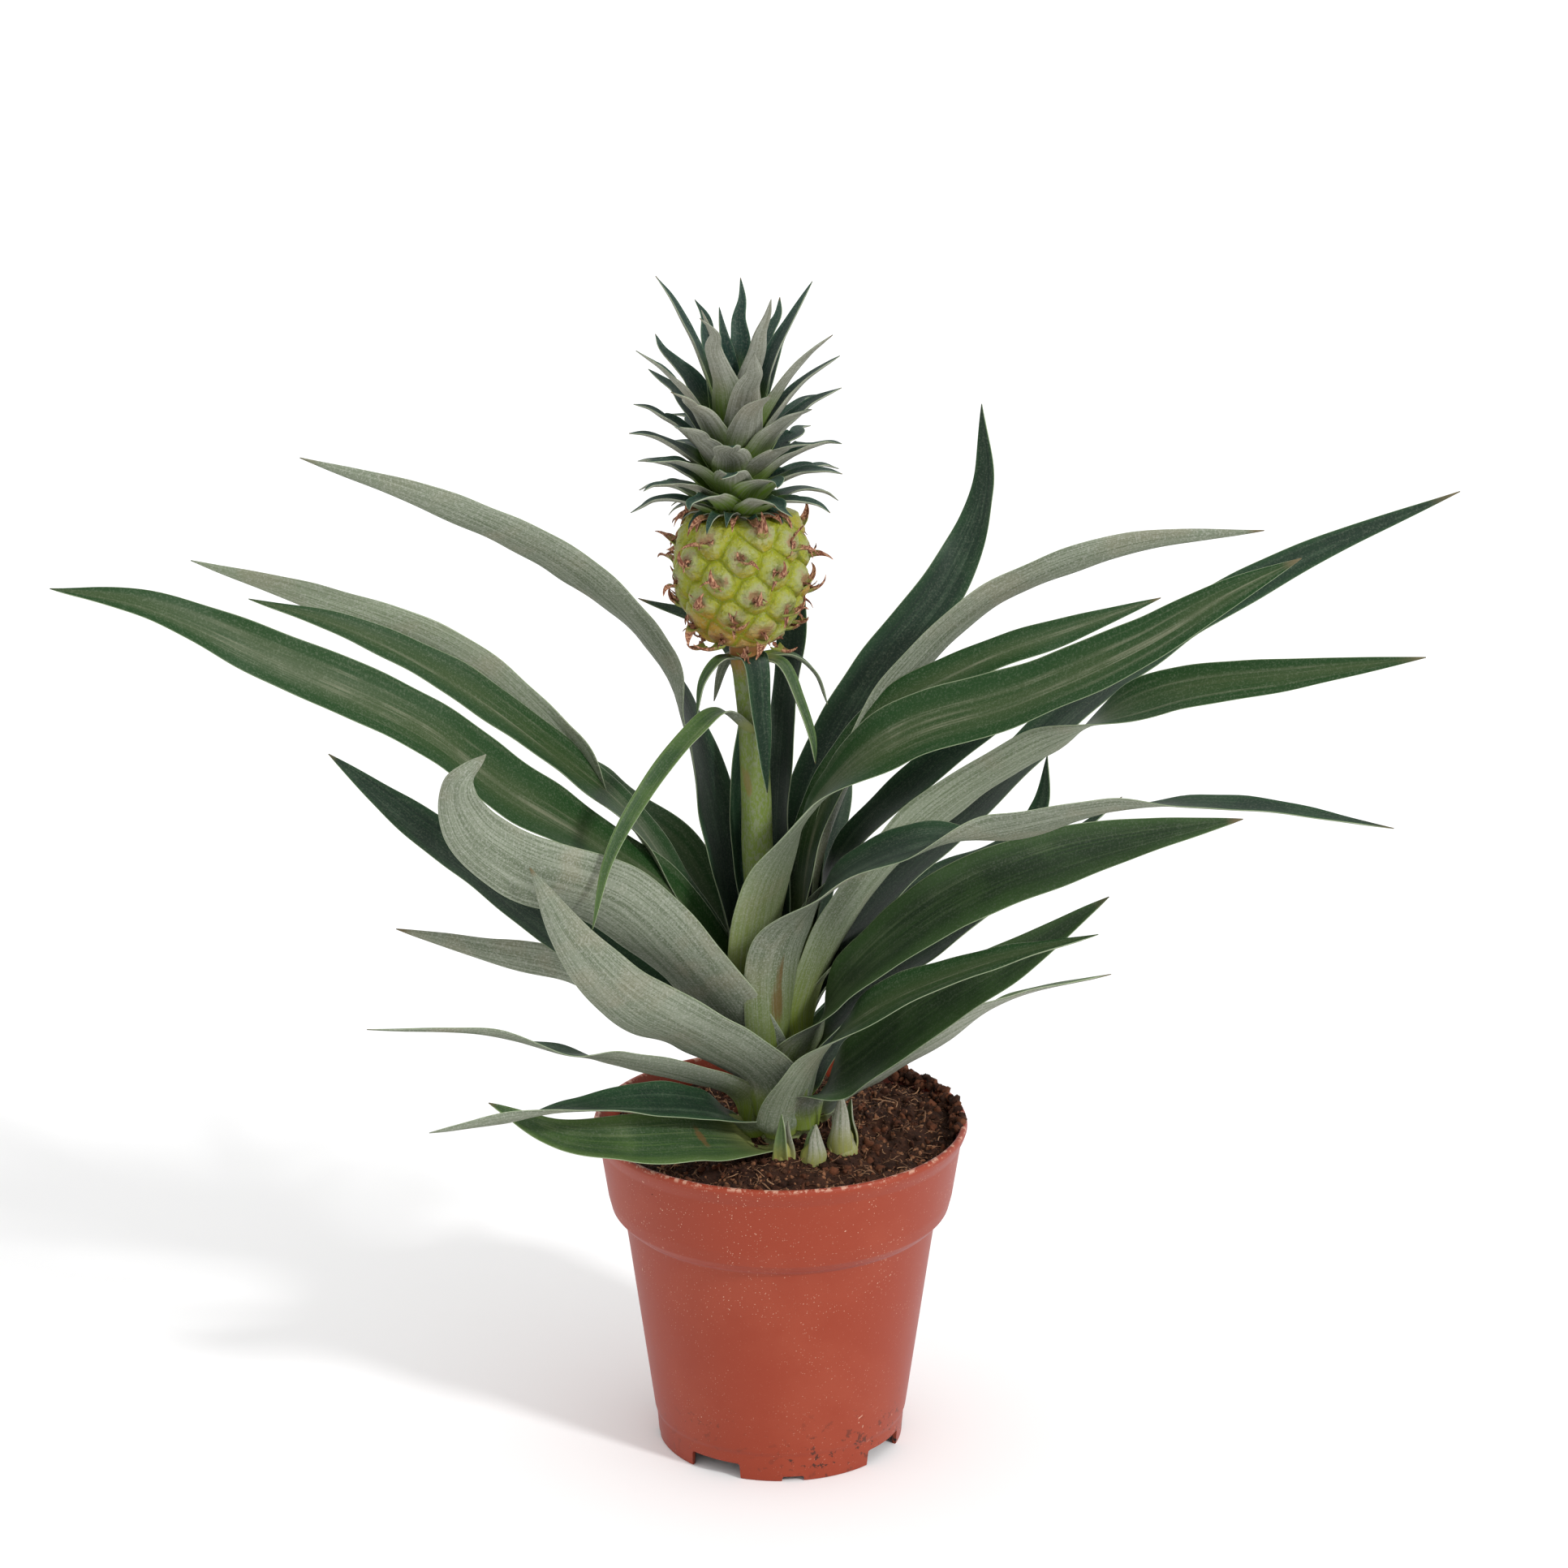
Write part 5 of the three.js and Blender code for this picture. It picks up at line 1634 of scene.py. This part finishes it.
@dataclass
class Plant:
    """The whole potted plant."""

    axis: PlantAxis = field(default_factory=PlantAxis)

    def build(self) -> None:
        """Makes every piece from the pot up."""
        Pot().build()
        Soil().build()
        finishes = {kind: kind.value.material() for kind in LeafKind}
        Stem(self.axis).build()
        Stalk(self.axis).build(finishes)
        for order, leaf in enumerate(LEAVES):
            shell = leaf.build(self.axis, order)
            settle(add_mesh(leaf.name, shell, finishes[leaf.kind]), "leaf", leaf.name)
        Fruit().build()
        Crown().build(finishes[CROWN])
        for offset in OFFSETS:
            offset.build(finishes[SHOOT])


# ---------------- stage


@dataclass
class Studio:
    """The white ground, the soft light and the camera of the photograph."""

    target: Point = (0.0012, 0.0, 0.2236)
    distance: float = 1.5
    pitch: float = 18.35
    lens: float = 109.2
    key: Point = (0.617, -0.532, 0.579)
    key_strength: float = 1.65
    key_angle: float = 7.0  # in degrees: how soft the edge of a shadow is
    sky: float = 1.0
    sensor: float = 36.0
    white: float = 0.92
    reach: float = 6000.0  # how far the floor goes to each side, in millimetres

    def build(self) -> None:
        """Makes the floor, the lights and the camera."""
        scene = bpy.context.scene
        ground = ShaderBench("studio_ground").finish((self.white,) * 3, 0.9, specular=0.1)
        corners = np.array([(-1, -1, 0), (1, -1, 0), (1, 1, 0), (-1, 1, 0)]) * self.reach
        add_mesh("floor", Shell(corners, [(0, 1, 2, 3)]), ground)

        world = bpy.data.worlds.new("studio_sky")
        world.use_nodes = True
        background = world.node_tree.nodes["Background"].inputs
        background["Color"].default_value = (1.0, 1.0, 1.0, 1.0)
        background["Strength"].default_value = self.sky
        scene.world = world

        light = bpy.data.lights.new("key", "SUN")
        light.energy, light.angle = self.key_strength, math.radians(self.key_angle)
        lamp = bpy.data.objects.new("key", light)
        lamp.rotation_euler = Vector(self.key).to_track_quat("Z", "Y").to_euler()
        scene.collection.objects.link(lamp)

        camera = bpy.data.cameras.new("camera")
        camera.lens, camera.sensor_width = self.lens, self.sensor
        eye = bpy.data.objects.new("camera", camera)
        pitch = math.radians(self.pitch)
        forward = Vector((0, math.cos(pitch), -math.sin(pitch)))
        eye.location = Vector(self.target) - forward * self.distance
        eye.rotation_euler = forward.to_track_quat("-Z", "Y").to_euler()
        scene.collection.objects.link(eye)
        scene.camera = eye
        scene.view_settings.view_transform = "Standard"


def main() -> None:
    """Loads the frame, dresses the plant and sets up the studio."""
    logging.basicConfig(level=logging.INFO, format="%(name)s: %(message)s")
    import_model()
    Plant().build()
    Studio().build()


if __name__ == "__main__":
    main()
